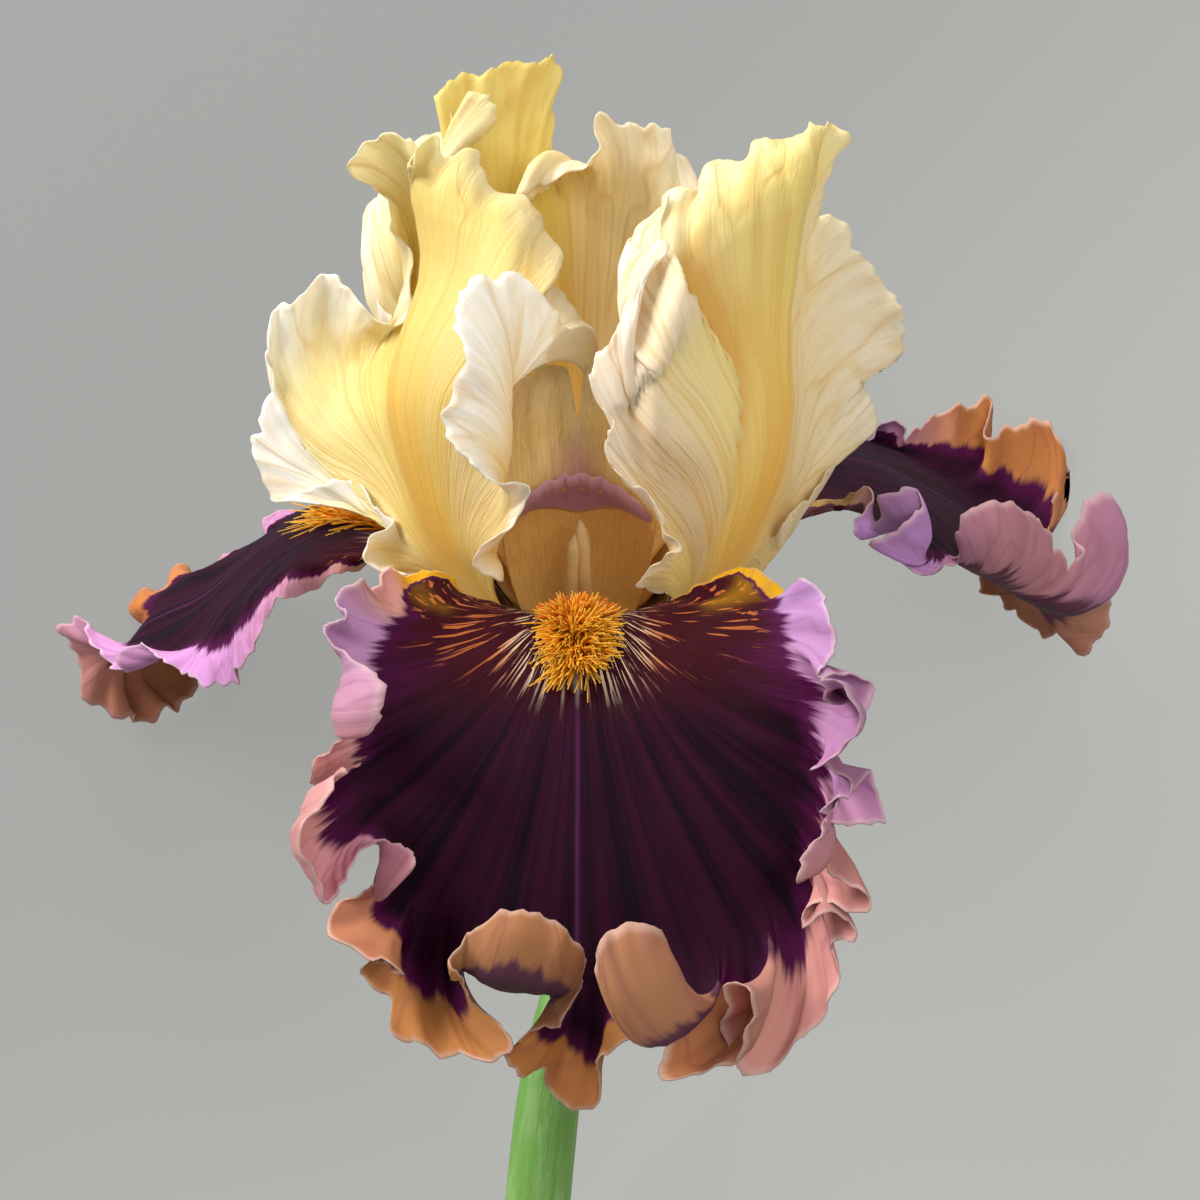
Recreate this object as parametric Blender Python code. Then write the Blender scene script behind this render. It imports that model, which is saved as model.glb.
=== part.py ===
"""One cut bearded iris flower laid down on a surface, in metres, +Z up.

Each petal is one sheet P(s, t): s runs round its margin, t runs from the claw out along the veins. The
inner part is a flat fan of veins laid on the midrib and cupped across it. From the fan's edge each vein goes
on along a circular arc that leaves the blade in its own direction and ends on the ruffled margin, a smooth
curve through points placed by hand. The flower is worked out upright in its own frame (x right, y away from
the viewer, z up the axis, millimetres) and laid down at the end.
"""

from collections import namedtuple

import bpy
import numpy as np


def turned(axis, degrees):
    c, s = np.cos(np.radians(degrees)), np.sin(np.radians(degrees))
    about = {"x": ((1, 0, 0), (0, c, -s), (0, s, c)), "y": ((c, 0, s), (0, 1, 0), (-s, 0, c))}
    return np.array(about[axis])


# on its back: it rests on the far rims of the two side falls and on the cut end of the stem
ON_BACK = np.array(((1.0, 0, 0), (0, 0, 1.0), (0, -1.0, 0)))
LAY = turned("y", 2.46) @ turned("x", 24.88) @ ON_BACK
SHIFT = np.array((-0.01, -1.79, 43.26))
THICK = 0.8  # of a petal, millimetres
THIN = 0.7  # of a style arm
SWEEP_SIDES = 18


Petal = namedtuple("Petal", "azimuth midrib roll fan haft blade cup keel margin")

FAR = 700.0  # from the viewer to the flower's axis
STEP = 0.14  # one step across the view, at the axis
MIDDLE_STEP = 600
AXIS_X, MIDDLE_Z = 3, 14


def seen(right, down, depth):
    """A point given by where it shows from the front, in steps, and by how far behind the axis it lies."""
    k = STEP * (1 + depth / FAR)
    return np.array([AXIS_X + (right - MIDDLE_STEP) * k, depth, MIDDLE_Z + (MIDDLE_STEP - down) * k])


def through(x, points):
    """Smooth curve through (x, y) points: cubic Hermite with the mean slope of the neighbouring chords."""
    points = np.array(points, float)
    px, py = points[:, 0], points[:, 1:]
    width = np.diff(px)[:, None]
    chord = np.diff(py, axis=0) / width
    between = (chord[1:] * width[:-1] + chord[:-1] * width[1:]) / (width[1:] + width[:-1])
    slope = np.concatenate([chord[:1], between, chord[-1:]])
    x = np.clip(x, px[0], px[-1])
    k = np.clip(np.searchsorted(px, x, side="right") - 1, 0, len(px) - 2)
    width = width[k]
    u = ((x - px[k]) / width[..., 0])[..., None]
    got = ((2 * u**3 - 3 * u**2 + 1) * py[k] + (u**3 - 2 * u**2 + u) * width * slope[k]
           + (3 * u**2 - 2 * u**3) * py[k + 1] + (u**3 - u**2) * width * slope[k + 1])
    return got[..., 0] if got.shape[-1] == 1 else got


def unit(v):
    return v / np.linalg.norm(v, axis=-1, keepdims=True).clip(1e-9)


def midrib_frame(petal, along):
    turn = np.radians(petal.azimuth)
    out, side = np.array([np.cos(turn), np.sin(turn), 0]), np.array([-np.sin(turn), np.cos(turn), 0])
    up = np.array([0, 0, 1.0])
    marks = np.array(petal.midrib, float)
    chord = np.concatenate([[0], np.cumsum(np.linalg.norm(np.diff(marks, axis=0), axis=1))])
    dense = np.linspace(0, chord[-1], 400)
    line = through(dense, np.column_stack([chord, marks]))
    length = np.concatenate([[0], np.cumsum(np.linalg.norm(np.diff(line, axis=0), axis=1))])
    line = line @ np.array([out, side, up])
    tangent = unit(np.gradient(line, axis=0))
    width = unit(side - (tangent @ side)[:, None] * tangent)
    inner = np.cross(tangent, width)
    lean = np.radians(through(length, petal.roll))[:, None]
    width, inner = (np.cos(lean) * width + np.sin(lean) * inner,
                    np.cos(lean) * inner - np.sin(lean) * width)

    def at(values):
        flat = np.clip(along, 0, length[-1])
        return np.stack([np.interp(flat, length, values[:, i]) for i in range(3)], -1)

    past = (along - length[-1]).clip(0)[..., None]
    early = along.clip(None, 0)[..., None]
    return at(line) + past * tangent[-1] + early * tangent[0], at(tangent), at(width), at(inner)


def laid(petal, flat):
    """The blade bent in space: flat (across, along) points set on the midrib, cupped across."""
    a, along = flat[..., 0], flat[..., 1]
    point, tangent, width, inner = midrib_frame(petal, along)
    share = (np.arange(14) + 0.5) / 14
    cup = np.radians(through(along, petal.cup))
    right = (a > 0)
    cup = np.where(right, cup[..., 0], cup[..., 1])[..., None]
    part = a[..., None] * share
    keel = np.radians(through(along, petal.keel))
    keel = np.where(right, keel[..., 0], keel[..., 1])[..., None]
    omega = cup * part + keel * np.tanh(part / 3)
    across, rise = a * np.cos(omega).mean(-1), a * np.sin(omega).mean(-1)
    return point + across[..., None] * width + rise[..., None] * inner


def fan_edge(petal, angle):
    """The blade's edge in the flat (across, along) layout."""
    radius = through(angle, petal.blade)
    turn = np.radians(angle)
    return np.stack([radius * np.sin(turn), petal.fan + radius * np.cos(turn)], -1)


def blade(petal, angle, share):
    """Blade points: angle round the fan, share 0 at the claw to 1 at the blade's edge."""
    ends = petal.blade[0][0], petal.blade[-1][0]
    s = np.interp(angle, [ends[0], 0, ends[1]], [-1, 0, 1])
    rim = fan_edge(petal, angle)
    # a vein leaves the bundle just under the fan's centre, or lower down where it ends low on the haft
    most = 1.1 * petal.fan
    soft = 0.2
    leave = 0.9 * (most - np.log1p(np.exp((most - rim[..., 1]) * soft)) / soft)
    p0 = np.stack([s * petal.haft, 0 * s], -1)
    p1 = np.stack([s * petal.haft * 1.15, 0.5 * leave], -1)
    p2 = np.stack([s * petal.haft * 1.3, leave], -1)
    w = share[..., None]
    flat = (p0 * (1 - w) ** 3 + 3 * p1 * w * (1 - w) ** 2 + 3 * p2 * w**2 * (1 - w) + rim * w**3)
    return laid(petal, flat)


def arc(start, heading, end, share):
    """Points along the circular arc that leaves start along heading and reaches end."""
    chord = end - start
    length = np.linalg.norm(chord, axis=-1, keepdims=True).clip(1e-6)
    c = chord / length
    along = (c * heading).sum(-1, keepdims=True).clip(-0.8, 1)
    side = unit(c - along * heading)
    half = np.arccos(along)
    straight = half < 0.02
    safe = np.where(straight, 0.02, half)
    radius = length / (2 * np.sin(safe))
    turn = 2 * safe * share[..., None]
    bent = radius * (np.sin(turn) * heading + (1 - np.cos(turn)) * side)
    # exact end even where the heading was limited
    reach = radius * (np.sin(2 * safe) * heading + (1 - np.cos(2 * safe)) * side)
    bent = bent + share[..., None] * (chord - reach)
    return start + bent


def sheet(petal, angle, inside, band):
    """The middle surface: a row at each angle round the fan, columns at shares of the blade, then of the band."""
    edge = through(angle, [(a, *seen(r, d, z), lift) for a, r, d, z, lift in petal.margin])
    edge, lift = edge[:, :3], edge[:, 3:]
    place = blade(petal, *np.meshgrid(angle, inside, indexing="ij"))
    last = place[:, -1]
    heading = unit(last - blade(petal, angle, np.full_like(angle, 0.985)))
    near_end = np.minimum(angle - petal.blade[0][0], petal.blade[-1][0] - angle)
    ease = (near_end / 9).clip(0, 1)[:, None]
    ease = ease * ease * (3 - 2 * ease)
    # low on the haft the band is only a narrow strip straight across
    beside = laid(petal, fan_edge(petal, angle) + np.stack([np.sign(angle), 0 * angle], -1))
    heading = unit(ease * heading + (1 - ease) * unit(beside - last))
    edge = beside + ease * (edge - beside)
    lift = lift * ease
    band_share = np.broadcast_to(band, (len(angle), len(band)))
    rows = arc(last[:, None], heading[:, None], edge[:, None], band_share)
    near = unit(blade(petal, angle + 0.5, np.ones_like(angle)) - last)
    up = unit(np.cross(near, heading))
    rows = rows + (lift * (4 * band * (1 - band)))[..., None] * up[:, None]
    return np.concatenate([place, rows], 1)


def spread(petal, count):
    """Angles that step evenly along the margin and the blade's edge together."""
    dense = np.linspace(petal.blade[0][0], petal.blade[-1][0], 3001)
    edge = through(dense, [(a, *seen(r, d, z)) for a, r, d, z, _ in petal.margin])
    inner = blade(petal, dense, np.ones_like(dense))
    outer_step, inner_step = (np.linalg.norm(np.diff(line, axis=0), axis=1) for line in (edge, inner))
    run = np.concatenate([[0], np.cumsum(outer_step + 0.7 * inner_step)])
    return np.interp(np.linspace(0, run[-1], count), run, dense)


FALL_FRONT = Petal(
    azimuth=-90,
    midrib=((5.0, 0, 0.8), (9, 0, 6), (15, 0, 10), (22, 0, 11), (30, 0, 8), (36.5, 0, 0), (41, 0, -11),
            (43.5, 0, -24), (45, 0, -38), (46.5, 0, -52)),
    roll=((0, 0), (100, 0)), fan=36, haft=3.6,
    blade=((-150, 19), (-130, 18.5), (-108, 22), (-85, 26), (-65, 29), (-50, 32), (-35, 36), (-18, 36),
            (0, 38),
           (18, 39), (35, 39), (50, 35), (65, 31), (85, 28), (108, 23), (130, 19), (150, 19)),
    cup=((0, 5.0, 5.0), (14, 3.0, 3.0), (26, 1.4, 1.4), (40, 0.3, 0.3), (60, -0.4, -0.4),
            (100, -0.6, -0.6)), keel=((0, 0, 0), (90, 0, 0)),
    margin=((-150, 515, 612, -22, 0), (-138, 485, 598, -22, 0), (-128, 455, 584, -23, 0),
            (-121, 430, 576, -25, 0), (-115, 404, 576, -29, 0),
            (-111, 385, 572, -33, 0), (-108, 372, 590, -37, 0), (-104, 360, 577, -40, 0),
            (-101, 338, 598, -42, 0), (-98, 346, 616, -45, 0),
            (-95, 326, 624, -44, 0), (-92, 336, 646, -45, 0), (-89, 356, 662, -50, 0),
            (-86, 384, 680, -53, 0), (-83, 384, 700, -54, 0),
            (-80, 379, 717, -53, 0), (-77, 364, 735, -51, 0), (-75, 346, 738, -47, 0),
            (-73, 328, 750, -44, 0), (-71, 309, 768, -42, 0),
            (-70, 313, 786, -39, 0), (-69.2, 325, 795, -38, 0), (-68.2, 338, 778, -43, 0),
            (-67, 344, 768, -52, 0), (-65.8, 333, 785, -58, 0),
            (-64, 315, 805, -59, 0), (-61, 303, 845, -59, 0), (-58, 308, 872, -58, 0),
            (-56, 329, 900, -55, 0), (-54, 345, 872, -49, 0),
            (-51, 368, 850, -46, 0), (-48.5, 390, 841, -46, 0), (-46.5, 408, 848, -50, 0),
            (-44.8, 416, 862, -52, 0), (-43.3, 408, 874, -52, 0),
            (-42.2, 394, 880, -50, 0), (-41.2, 375, 885, -47, 0), (-40.1, 350, 895, -43, 0),
            (-39, 330, 915, -44, 0), (-38, 335, 938, -45, 0),
            (-37.1, 362, 950, -46, 0), (-36.3, 385, 962, -47, 0), (-35.7, 402, 976, -47, 0),
            (-35.1, 385, 965, -42, 0), (-34.5, 360, 965, -40, 0),
            (-33.9, 368, 985, -39, 0), (-33.3, 395, 1003, -40, 0), (-32.6, 390, 1030, -41, 0),
            (-31.8, 403, 1042, -41, 0), (-31, 420, 1042, -42, 1),
            (-30, 440, 1057, -42, 3), (-29, 456, 1052, -43, 5), (-28, 475, 1057, -46, 6),
            (-26, 495, 1058, -48, 3), (-24.5, 511, 1044, -49, 1),
            (-23.6, 490, 1012, -47, 0), (-22.5, 470, 992, -50, 0), (-21.2, 456, 970, -56, 0),
            (-20, 455, 955, -56, 0), (-19, 470, 931, -56, 0),
            (-17.5, 495, 917, -57, 0), (-15, 518, 908, -57, 0), (-12, 545, 915, -56, 0),
            (-9.5, 567, 933, -55, 0), (-7.5, 585, 962, -54, 0),
            (-6.5, 577, 990, -53, 0), (-5.5, 563, 1015, -52, 0), (-4.5, 553, 1026, -50, 0),
            (-3.2, 540, 1030, -47, 0), (-2.2, 515, 1045, -46, 0),
            (-1.2, 503, 1057, -46, 0), (-0.2, 520, 1078, -45, 0), (0.8, 545, 1072, -44, 0),
            (1.8, 547, 1088, -43, 0), (2.8, 568, 1108, -43, 0),
            (3.8, 594, 1111, -43, 0), (4.8, 600, 1088, -44, 0), (5.8, 594, 1065, -46, 0),
            (6.8, 600, 1056, -48, 0), (8.2, 632, 1036, -49, 0),
            (9.6, 650, 1008, -50, 0), (11, 650, 985, -53, 0), (12.4, 634, 970, -57, 0),
            (13.8, 612, 970, -61, 0), (15.2, 597, 978, -64, 0),
            (17, 595, 958, -64, 0), (20, 614, 926, -62, 0), (23, 650, 925, -59, 0),
            (26, 668, 945, -56, 0), (27.5, 664, 970, -53, 0),
            (29.3, 678, 1000, -49, 0), (31, 664, 1040, -48, 0), (32, 659, 1075, -48, 0),
            (33, 690, 1079, -50, 0), (34, 715, 1070, -51, 0),
            (35, 738, 1052, -53, 0), (36, 751, 1010, -54, 0), (37, 740, 985, -54, 0),
            (38, 725, 985, -51, 0), (39, 722, 1020, -47, 0),
            (40, 735, 1063, -45, 0), (42, 768, 1070, -44, 0), (44, 800, 1042, -44, 0),
            (47, 825, 1005, -44, 0), (49, 840, 978, -44, 0),
            (49.8, 832, 955, -43, 0), (50.6, 835, 942, -43, 0), (51.5, 858, 940, -45, 0),
            (52.3, 856, 922, -46, 0), (53, 830, 912, -46, 0),
            (54, 803, 928, -45, 0), (55, 806, 908, -44, 0), (56, 835, 906, -45, 0),
            (57, 860, 914, -48, 0), (58.5, 871, 901, -49, 0),
            (59.5, 862, 890, -49, 0), (61, 838, 882, -48, 0), (62.5, 815, 862, -48, 0),
            (63.5, 797, 885, -51, 0), (64.2, 796, 870, -52, 0),
            (65, 806, 852, -51, 0), (66, 821, 838, -49, 0), (67, 823, 822, -47, 0),
            (68, 850, 826, -44, 0), (69, 886, 822, -42, 0),
            (70, 878, 795, -41, 0), (71, 868, 773, -41, 0), (71.6, 850, 790, -43, 0),
            (72.4, 822, 812, -49, 0), (73.2, 842, 797, -48, 0),
            (74, 853, 786, -46, 0), (75, 850, 776, -45, 0), (76, 826, 764, -45, 0),
            (77.5, 812, 768, -48, 0), (79, 830, 760, -49, 0),
            (81, 850, 738, -52, 0), (83, 858, 712, -54, 0), (85, 845, 688, -54, 0),
            (87, 822, 680, -53, 0), (88, 838, 700, -48, 0),
            (89, 862, 708, -42, 0), (91, 873, 684, -41, 0), (93, 850, 673, -42, 0),
            (95, 822, 678, -44, 0), (98, 828, 665, -42, 0),
            (101, 836, 638, -40, 0), (104, 828, 605, -38, 0), (108, 808, 580, -35, 0),
            (112, 790, 588, -31, 0), (116, 765, 575, -28, 0),
            (121, 735, 566, -25, 0), (128, 700, 588, -24, 0), (138, 672, 598, -22, 0),
            (150, 640, 612, -22, 0)))

FALL_LEFT = Petal(
    azimuth=150,
    midrib=((5.0, 0, 0.8), (9, 0, 8), (16, 0, 16), (26, 0, 23), (38, 0, 26), (48, 0, 24), (56, 0, 19.5),
            (64, 0, 14), (73, 0, 10.5), (79, 0, 6), (81, 0, -1), (80, 0, -8)),
    roll=((0, 0), (30, -10), (60, -28), (80, -35), (100, -35)), fan=44, haft=3.6,
    blade=((-150, 22), (-130, 19.5), (-108, 20.5), (-85, 23), (-65, 25), (-50, 28), (-35, 31), (-18, 35),
            (0, 38),
           (18, 31), (35, 27), (50, 25), (65, 22), (85, 20), (108, 19), (130, 19), (150, 21)),
    cup=((0, 5.0, 5.0), (14, 2.5, 2.5), (26, 0.2, 0.2), (40, -0.6, -0.6), (60, -0.6, -0.6),
            (100, -0.6, -0.6)), keel=((0, 0, 0), (90, 0, 0)),
    margin=((-150, 460, 537, 19, 0), (-136, 482, 527, 25, 0), (-122, 487, 515, 31, 0),
            (-108, 470, 498, 37, 0), (-92, 440, 490, 42, 0),
            (-78, 395, 495, 46, 0), (-66, 350, 505, 48, 0), (-57, 318, 512, 50, 0),
            (-51.5, 298, 514, 52, 0), (-47.5, 282, 511, 54, 0),
            (-44, 268, 520, 53, 0), (-41, 262, 535, 51, 0), (-38, 256, 550, 49, 0),
            (-35, 242, 556, 51, 0), (-32.5, 224, 556, 55, 0),
            (-30.5, 214, 566, 56, 0), (-28.5, 216, 580, 54, 0), (-26.5, 228, 589, 51, 0),
            (-24.5, 216, 597, 49, 0), (-22.5, 202, 592, 52, 0),
            (-20.5, 194, 578, 55, 0), (-18.5, 182, 567, 57, 0), (-17, 170, 571, 57, 0),
            (-15.5, 160, 584, 56, 0), (-13.5, 145, 586, 57, 0),
            (-11.5, 134, 600, 57, 0), (-10, 134, 616, 56, 0), (-8.8, 150, 632, 53, 0),
            (-7.6, 180, 655, 50, 0), (-6.4, 199, 681, 48, 0),
            (-5.4, 188, 700, 47, 0), (-4.4, 175, 711, 47, 0), (-3.4, 164, 709, 46, 0),
            (-2.4, 155, 722, 46, 0), (-1.4, 142, 722, 46, 0),
            (-0.4, 135, 714, 45, 0), (0.6, 121, 719, 45, 0), (1.8, 102, 708, 45, 0), (3, 88, 702, 45, 0),
            (4.4, 79, 685, 44, 0),
            (6, 76, 658, 42, 0), (7.5, 67, 638, 39, 0), (9, 57, 630, 36, 0), (11, 70, 620, 35, 0),
            (13, 84, 622, 33, 0),
            (15, 89, 640, 31, 0), (17, 100, 653, 29, 0), (19, 112, 666, 27, 0), (21, 129, 673, 25, 0),
            (23, 120, 663, 24, 0),
            (25, 117, 652, 24, 0), (27, 125, 648, 23, 0), (29.5, 138, 642, 22, 0), (33, 150, 649, 19, 0),
            (38, 165, 663, 15, 0),
            (44, 188, 674, 11, 0), (51, 205, 684, 8, 0), (60, 235, 684, 5, 0), (68, 238, 670, 3, 0),
            (78, 250, 652, 1, 0),
            (88, 263, 634, 0, 0), (97, 268, 613, 0, 0), (105, 280, 599, 0, 0), (113, 300, 594, 1, 0),
            (120, 320, 588, 2, 0),
            (126, 334, 572, 1, 0), (130, 342, 572, 1, 0), (135, 354, 574, 2, 0), (142, 375, 562, 3, 0),
            (150, 393, 556, 3, 0)))

FALL_RIGHT = Petal(
    azimuth=30,
    midrib=((5.0, 0, 0.8), (9, 0, 9), (16, 0, 19), (25, 0, 27.5), (35, 0, 33), (46, 0, 34), (57, 0, 31),
            (66, 0, 26), (74, 0, 19), (79, 0, 11), (81, 0, 3)),
    roll=((0, 0), (30, 8), (60, 22), (80, 32), (100, 40)), fan=50, haft=3.6,
    blade=((-150, 25), (-130, 22), (-108, 22.5), (-85, 24), (-65, 27), (-50, 30), (-35, 33), (-18, 36),
            (0, 38),
           (18, 36), (35, 33), (50, 30), (65, 27), (85, 24), (108, 22), (130, 22), (150, 25)),
    cup=((0, 5.0, 5.0), (14, 3.0, 3.0), (26, 0.4, 0.4), (36, -0.6, 0.0), (46, -1.0, -0.8),
            (60, -0.7, -0.7), (100, 0, 0)), keel=((0, 0, 0), (90, 0, 0)),
    margin=((-150, 778, 518, 3, 0), (-140, 795, 511, 3, 0), (-134, 814, 505, 3, 0),
            (-128, 835, 499, 2, 0), (-122, 855, 494, 0, 0),
            (-118.5, 865, 488, -2, 0), (-116, 872, 496, -4, 0), (-113, 868, 510, -5, 0),
            (-110, 852, 523, -4, 0), (-107, 858, 538, -4, 0),
            (-104, 872, 533, -4, 0), (-101, 880, 520, -6, 0), (-98, 878, 500, -7, 0),
            (-95, 895, 490, -8, 0), (-92, 917, 489, -8, 0),
            (-90, 921, 505, -9, 0), (-88, 905, 525, -9, 0), (-86, 885, 537, -8, 0),
            (-84, 870, 541, -7, 0), (-81, 885, 550, -6, 0),
            (-78, 905, 567, -5, 0), (-75, 922, 578, -4, 0), (-72, 945, 570, -2, 0),
            (-70, 958, 561, 0, 0), (-68, 957, 545, -3, 0),
            (-66, 956, 527, -5, 0), (-64, 965, 512, -6, 0), (-61, 985, 503, -5, 0),
            (-57, 1005, 503, -2, 0), (-53, 1025, 508, 2, 0),
            (-49, 1040, 520, 6, 0), (-45, 1050, 535, 10, 0), (-41, 1060, 555, 14, 0),
            (-38, 1069, 566, 17, 0), (-36, 1080, 550, 19, 0),
            (-34, 1070, 535, 22, 0), (-32, 1078, 517, 24, 0), (-30, 1088, 500, 26, 0),
            (-28, 1103, 493, 28, 0), (-26, 1117, 504, 31, 0),
            (-24.5, 1121, 517, 33, 0), (-23, 1108, 532, 34, 0), (-21.5, 1104, 552, 34, 0),
            (-20, 1088, 575, 32, 0), (-18.5, 1086, 590, 31, 0),
            (-17, 1095, 601, 31, 0), (-15.5, 1110, 592, 34, 0), (-14, 1112, 605, 36, 0),
            (-12, 1106, 625, 38, 0), (-10, 1092, 643, 39, 0),
            (-8, 1077, 650, 40, 0), (-6.5, 1070, 635, 40, 0), (-5, 1062, 623, 40, 0),
            (-3.5, 1053, 634, 41, 0), (-2, 1044, 638, 42, 0),
            (-0.5, 1032, 625, 43, 0), (1, 1018, 611, 45, 0), (2.2, 1007, 609, 47, 0),
            (3.4, 1000, 598, 49, 0), (4.6, 990, 594, 51, 0),
            (5.6, 978, 590, 52, 0), (6.6, 985, 570, 53, 0), (7.6, 1015, 540, 54, 0),
            (9, 1038, 520, 55, 0), (10.8, 1050, 503, 57, 0),
            (12.6, 1060, 488, 58, 0), (14.2, 1068, 470, 60, 0), (15.6, 1064, 452, 60, 0),
            (17, 1055, 435, 60, 0), (19, 1048, 421, 60, 0),
            (21, 1035, 419, 60, 0), (23, 1018, 425, 59, 0), (25, 1004, 424, 59, 0),
            (26.5, 998, 435, 57, 0), (28, 988, 438, 56, 0),
            (29.5, 986, 420, 58, 0), (31, 991, 402, 60, 0), (33, 983, 396, 60, 0), (35, 970, 405, 59, 0),
            (37, 952, 406, 58, 0),
            (39.5, 935, 417, 56, 0), (42, 918, 430, 53, 0), (45, 905, 442, 50, 0), (47, 908, 430, 50, 0),
            (50, 897, 422, 50, 0),
            (54, 882, 428, 48, 0), (58, 868, 437, 46, 0), (62, 858, 425, 45, 0), (68, 840, 412, 44, 0),
            (76, 800, 412, 44, 0),
            (85, 752, 422, 43, 0), (100, 706, 437, 39, 0), (115, 678, 452, 34, 0),
            (132, 654, 478, 28, 0), (150, 645, 510, 20, 0)))

STANDARD_LEFT = Petal(
    azimuth=-150,
    midrib=((3.6, 0, 0.8), (9, 0, 7), (16, 0, 14.5), (22, 0, 22.2), (26.6, 0, 31.8), (29.4, 0, 41.4),
            (28, 0, 49.6), (25, 0, 56.5),
            (24, 0, 63), (26, 0, 69), (30, 0, 74)),
    roll=((0, 0), (100, 0)), fan=30, haft=1.6,
    blade=((-140, 11), (-120, 9.5), (-105, 9.5), (-90, 12), (-80, 15), (-60, 25), (-40, 30), (-20, 38),
            (0, 45),
           (20, 38), (40, 24), (60, 16), (80, 12), (100, 10.5), (120, 10.5), (140, 11)),
    cup=((0, 6.0, 6.0), (20, 1.6, 0), (34, 0.6, -3.0), (60, 0.6, -3.0), (90, 0.6, -1.5)),
            keel=((0, 0, 0), (14, 0, -4), (24, 8, -2), (34, 22, 30), (44, 22, 45), (90, 22, 45)),
    margin=((-140, 470, 590, -6, 0), (-132, 438, 588, -7, 0), (-126, 412, 577, -8, 0),
            (-121, 387, 571, -8, 0), (-117, 366, 558, -8, 0),
            (-113, 374, 538, -6, 0), (-110, 390, 522, -4, 0), (-107, 384, 508, -2, 0),
            (-104, 370, 495, 0, 0), (-100, 352, 483, 2, 0),
            (-96, 330, 481, 4, 0), (-92, 302, 491, 6, 0), (-89, 272, 501, 7, 0), (-86, 262, 475, 7, 0),
            (-82, 250, 446, 7, 0),
            (-78, 260, 430, 6, 0), (-75, 262, 410, 6, 0), (-71, 272, 385, 5, 0), (-67, 267, 355, 5, 0),
            (-63, 275, 330, 4, 0),
            (-59, 277, 309, 4, 0), (-55, 300, 297, 3, 0), (-51, 325, 274, 2, 0), (-47, 342, 285, 1, 0),
            (-43, 362, 305, 0, 0),
            (-39, 390, 322, 0, 0), (-36, 405, 318, 2, 0), (-32, 410, 290, 0, 0), (-28, 404, 245, -2, 0),
            (-25, 385, 200, -4, 0),
            (-22, 362, 177, -6, 0), (-19, 349, 165, -8, 0), (-16, 363, 145, -9, 0),
            (-13, 380, 138, -10, 0), (-10, 398, 133, -11, 0),
            (-7, 418, 150, -13, 0), (-4, 410, 165, -16, 0), (-2, 422, 145, -16, 0),
            (0, 433, 136, -15, 0), (3, 446, 157, -14, 0),
            (6, 470, 150, -12, 0), (9, 480, 168, -12, 0), (12, 500, 185, -12, 0), (15, 521, 199, -11, 0),
            (19, 540, 215, -11, 0),
            (23, 555, 235, -11, 0), (27, 562, 255, -12, 0), (31, 556, 272, -12, 0),
            (35, 548, 285, -8, 0), (39, 570, 330, -6, 0),
            (43, 589, 366, -6, 0), (46, 586, 395, -11, 0), (49, 573, 340, -18, 0),
            (52, 545, 303, -26, 0), (55, 521, 273, -30, 0),
            (58, 494, 276, -32, 0), (61, 471, 278, -33, 0), (64, 459, 297, -33, 0),
            (68, 456, 320, -34, 0), (73, 463, 348, -35, 0),
            (78, 458, 385, -35, 0), (82, 449, 404, -35, 0), (86, 442, 420, -34, 0),
            (90, 455, 444, -34, 0), (95, 472, 468, -33, 0),
            (100, 500, 482, -32, 0), (105, 527, 486, -30, 0), (110, 519, 516, -28, 0),
            (115, 500, 537, -26, 0), (119, 485, 548, -25, 0),
            (123, 473, 562, -23, 0), (127, 482, 573, -21, 0), (131, 500, 580, -19, 0),
            (140, 495, 600, -14, 0)))

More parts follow.
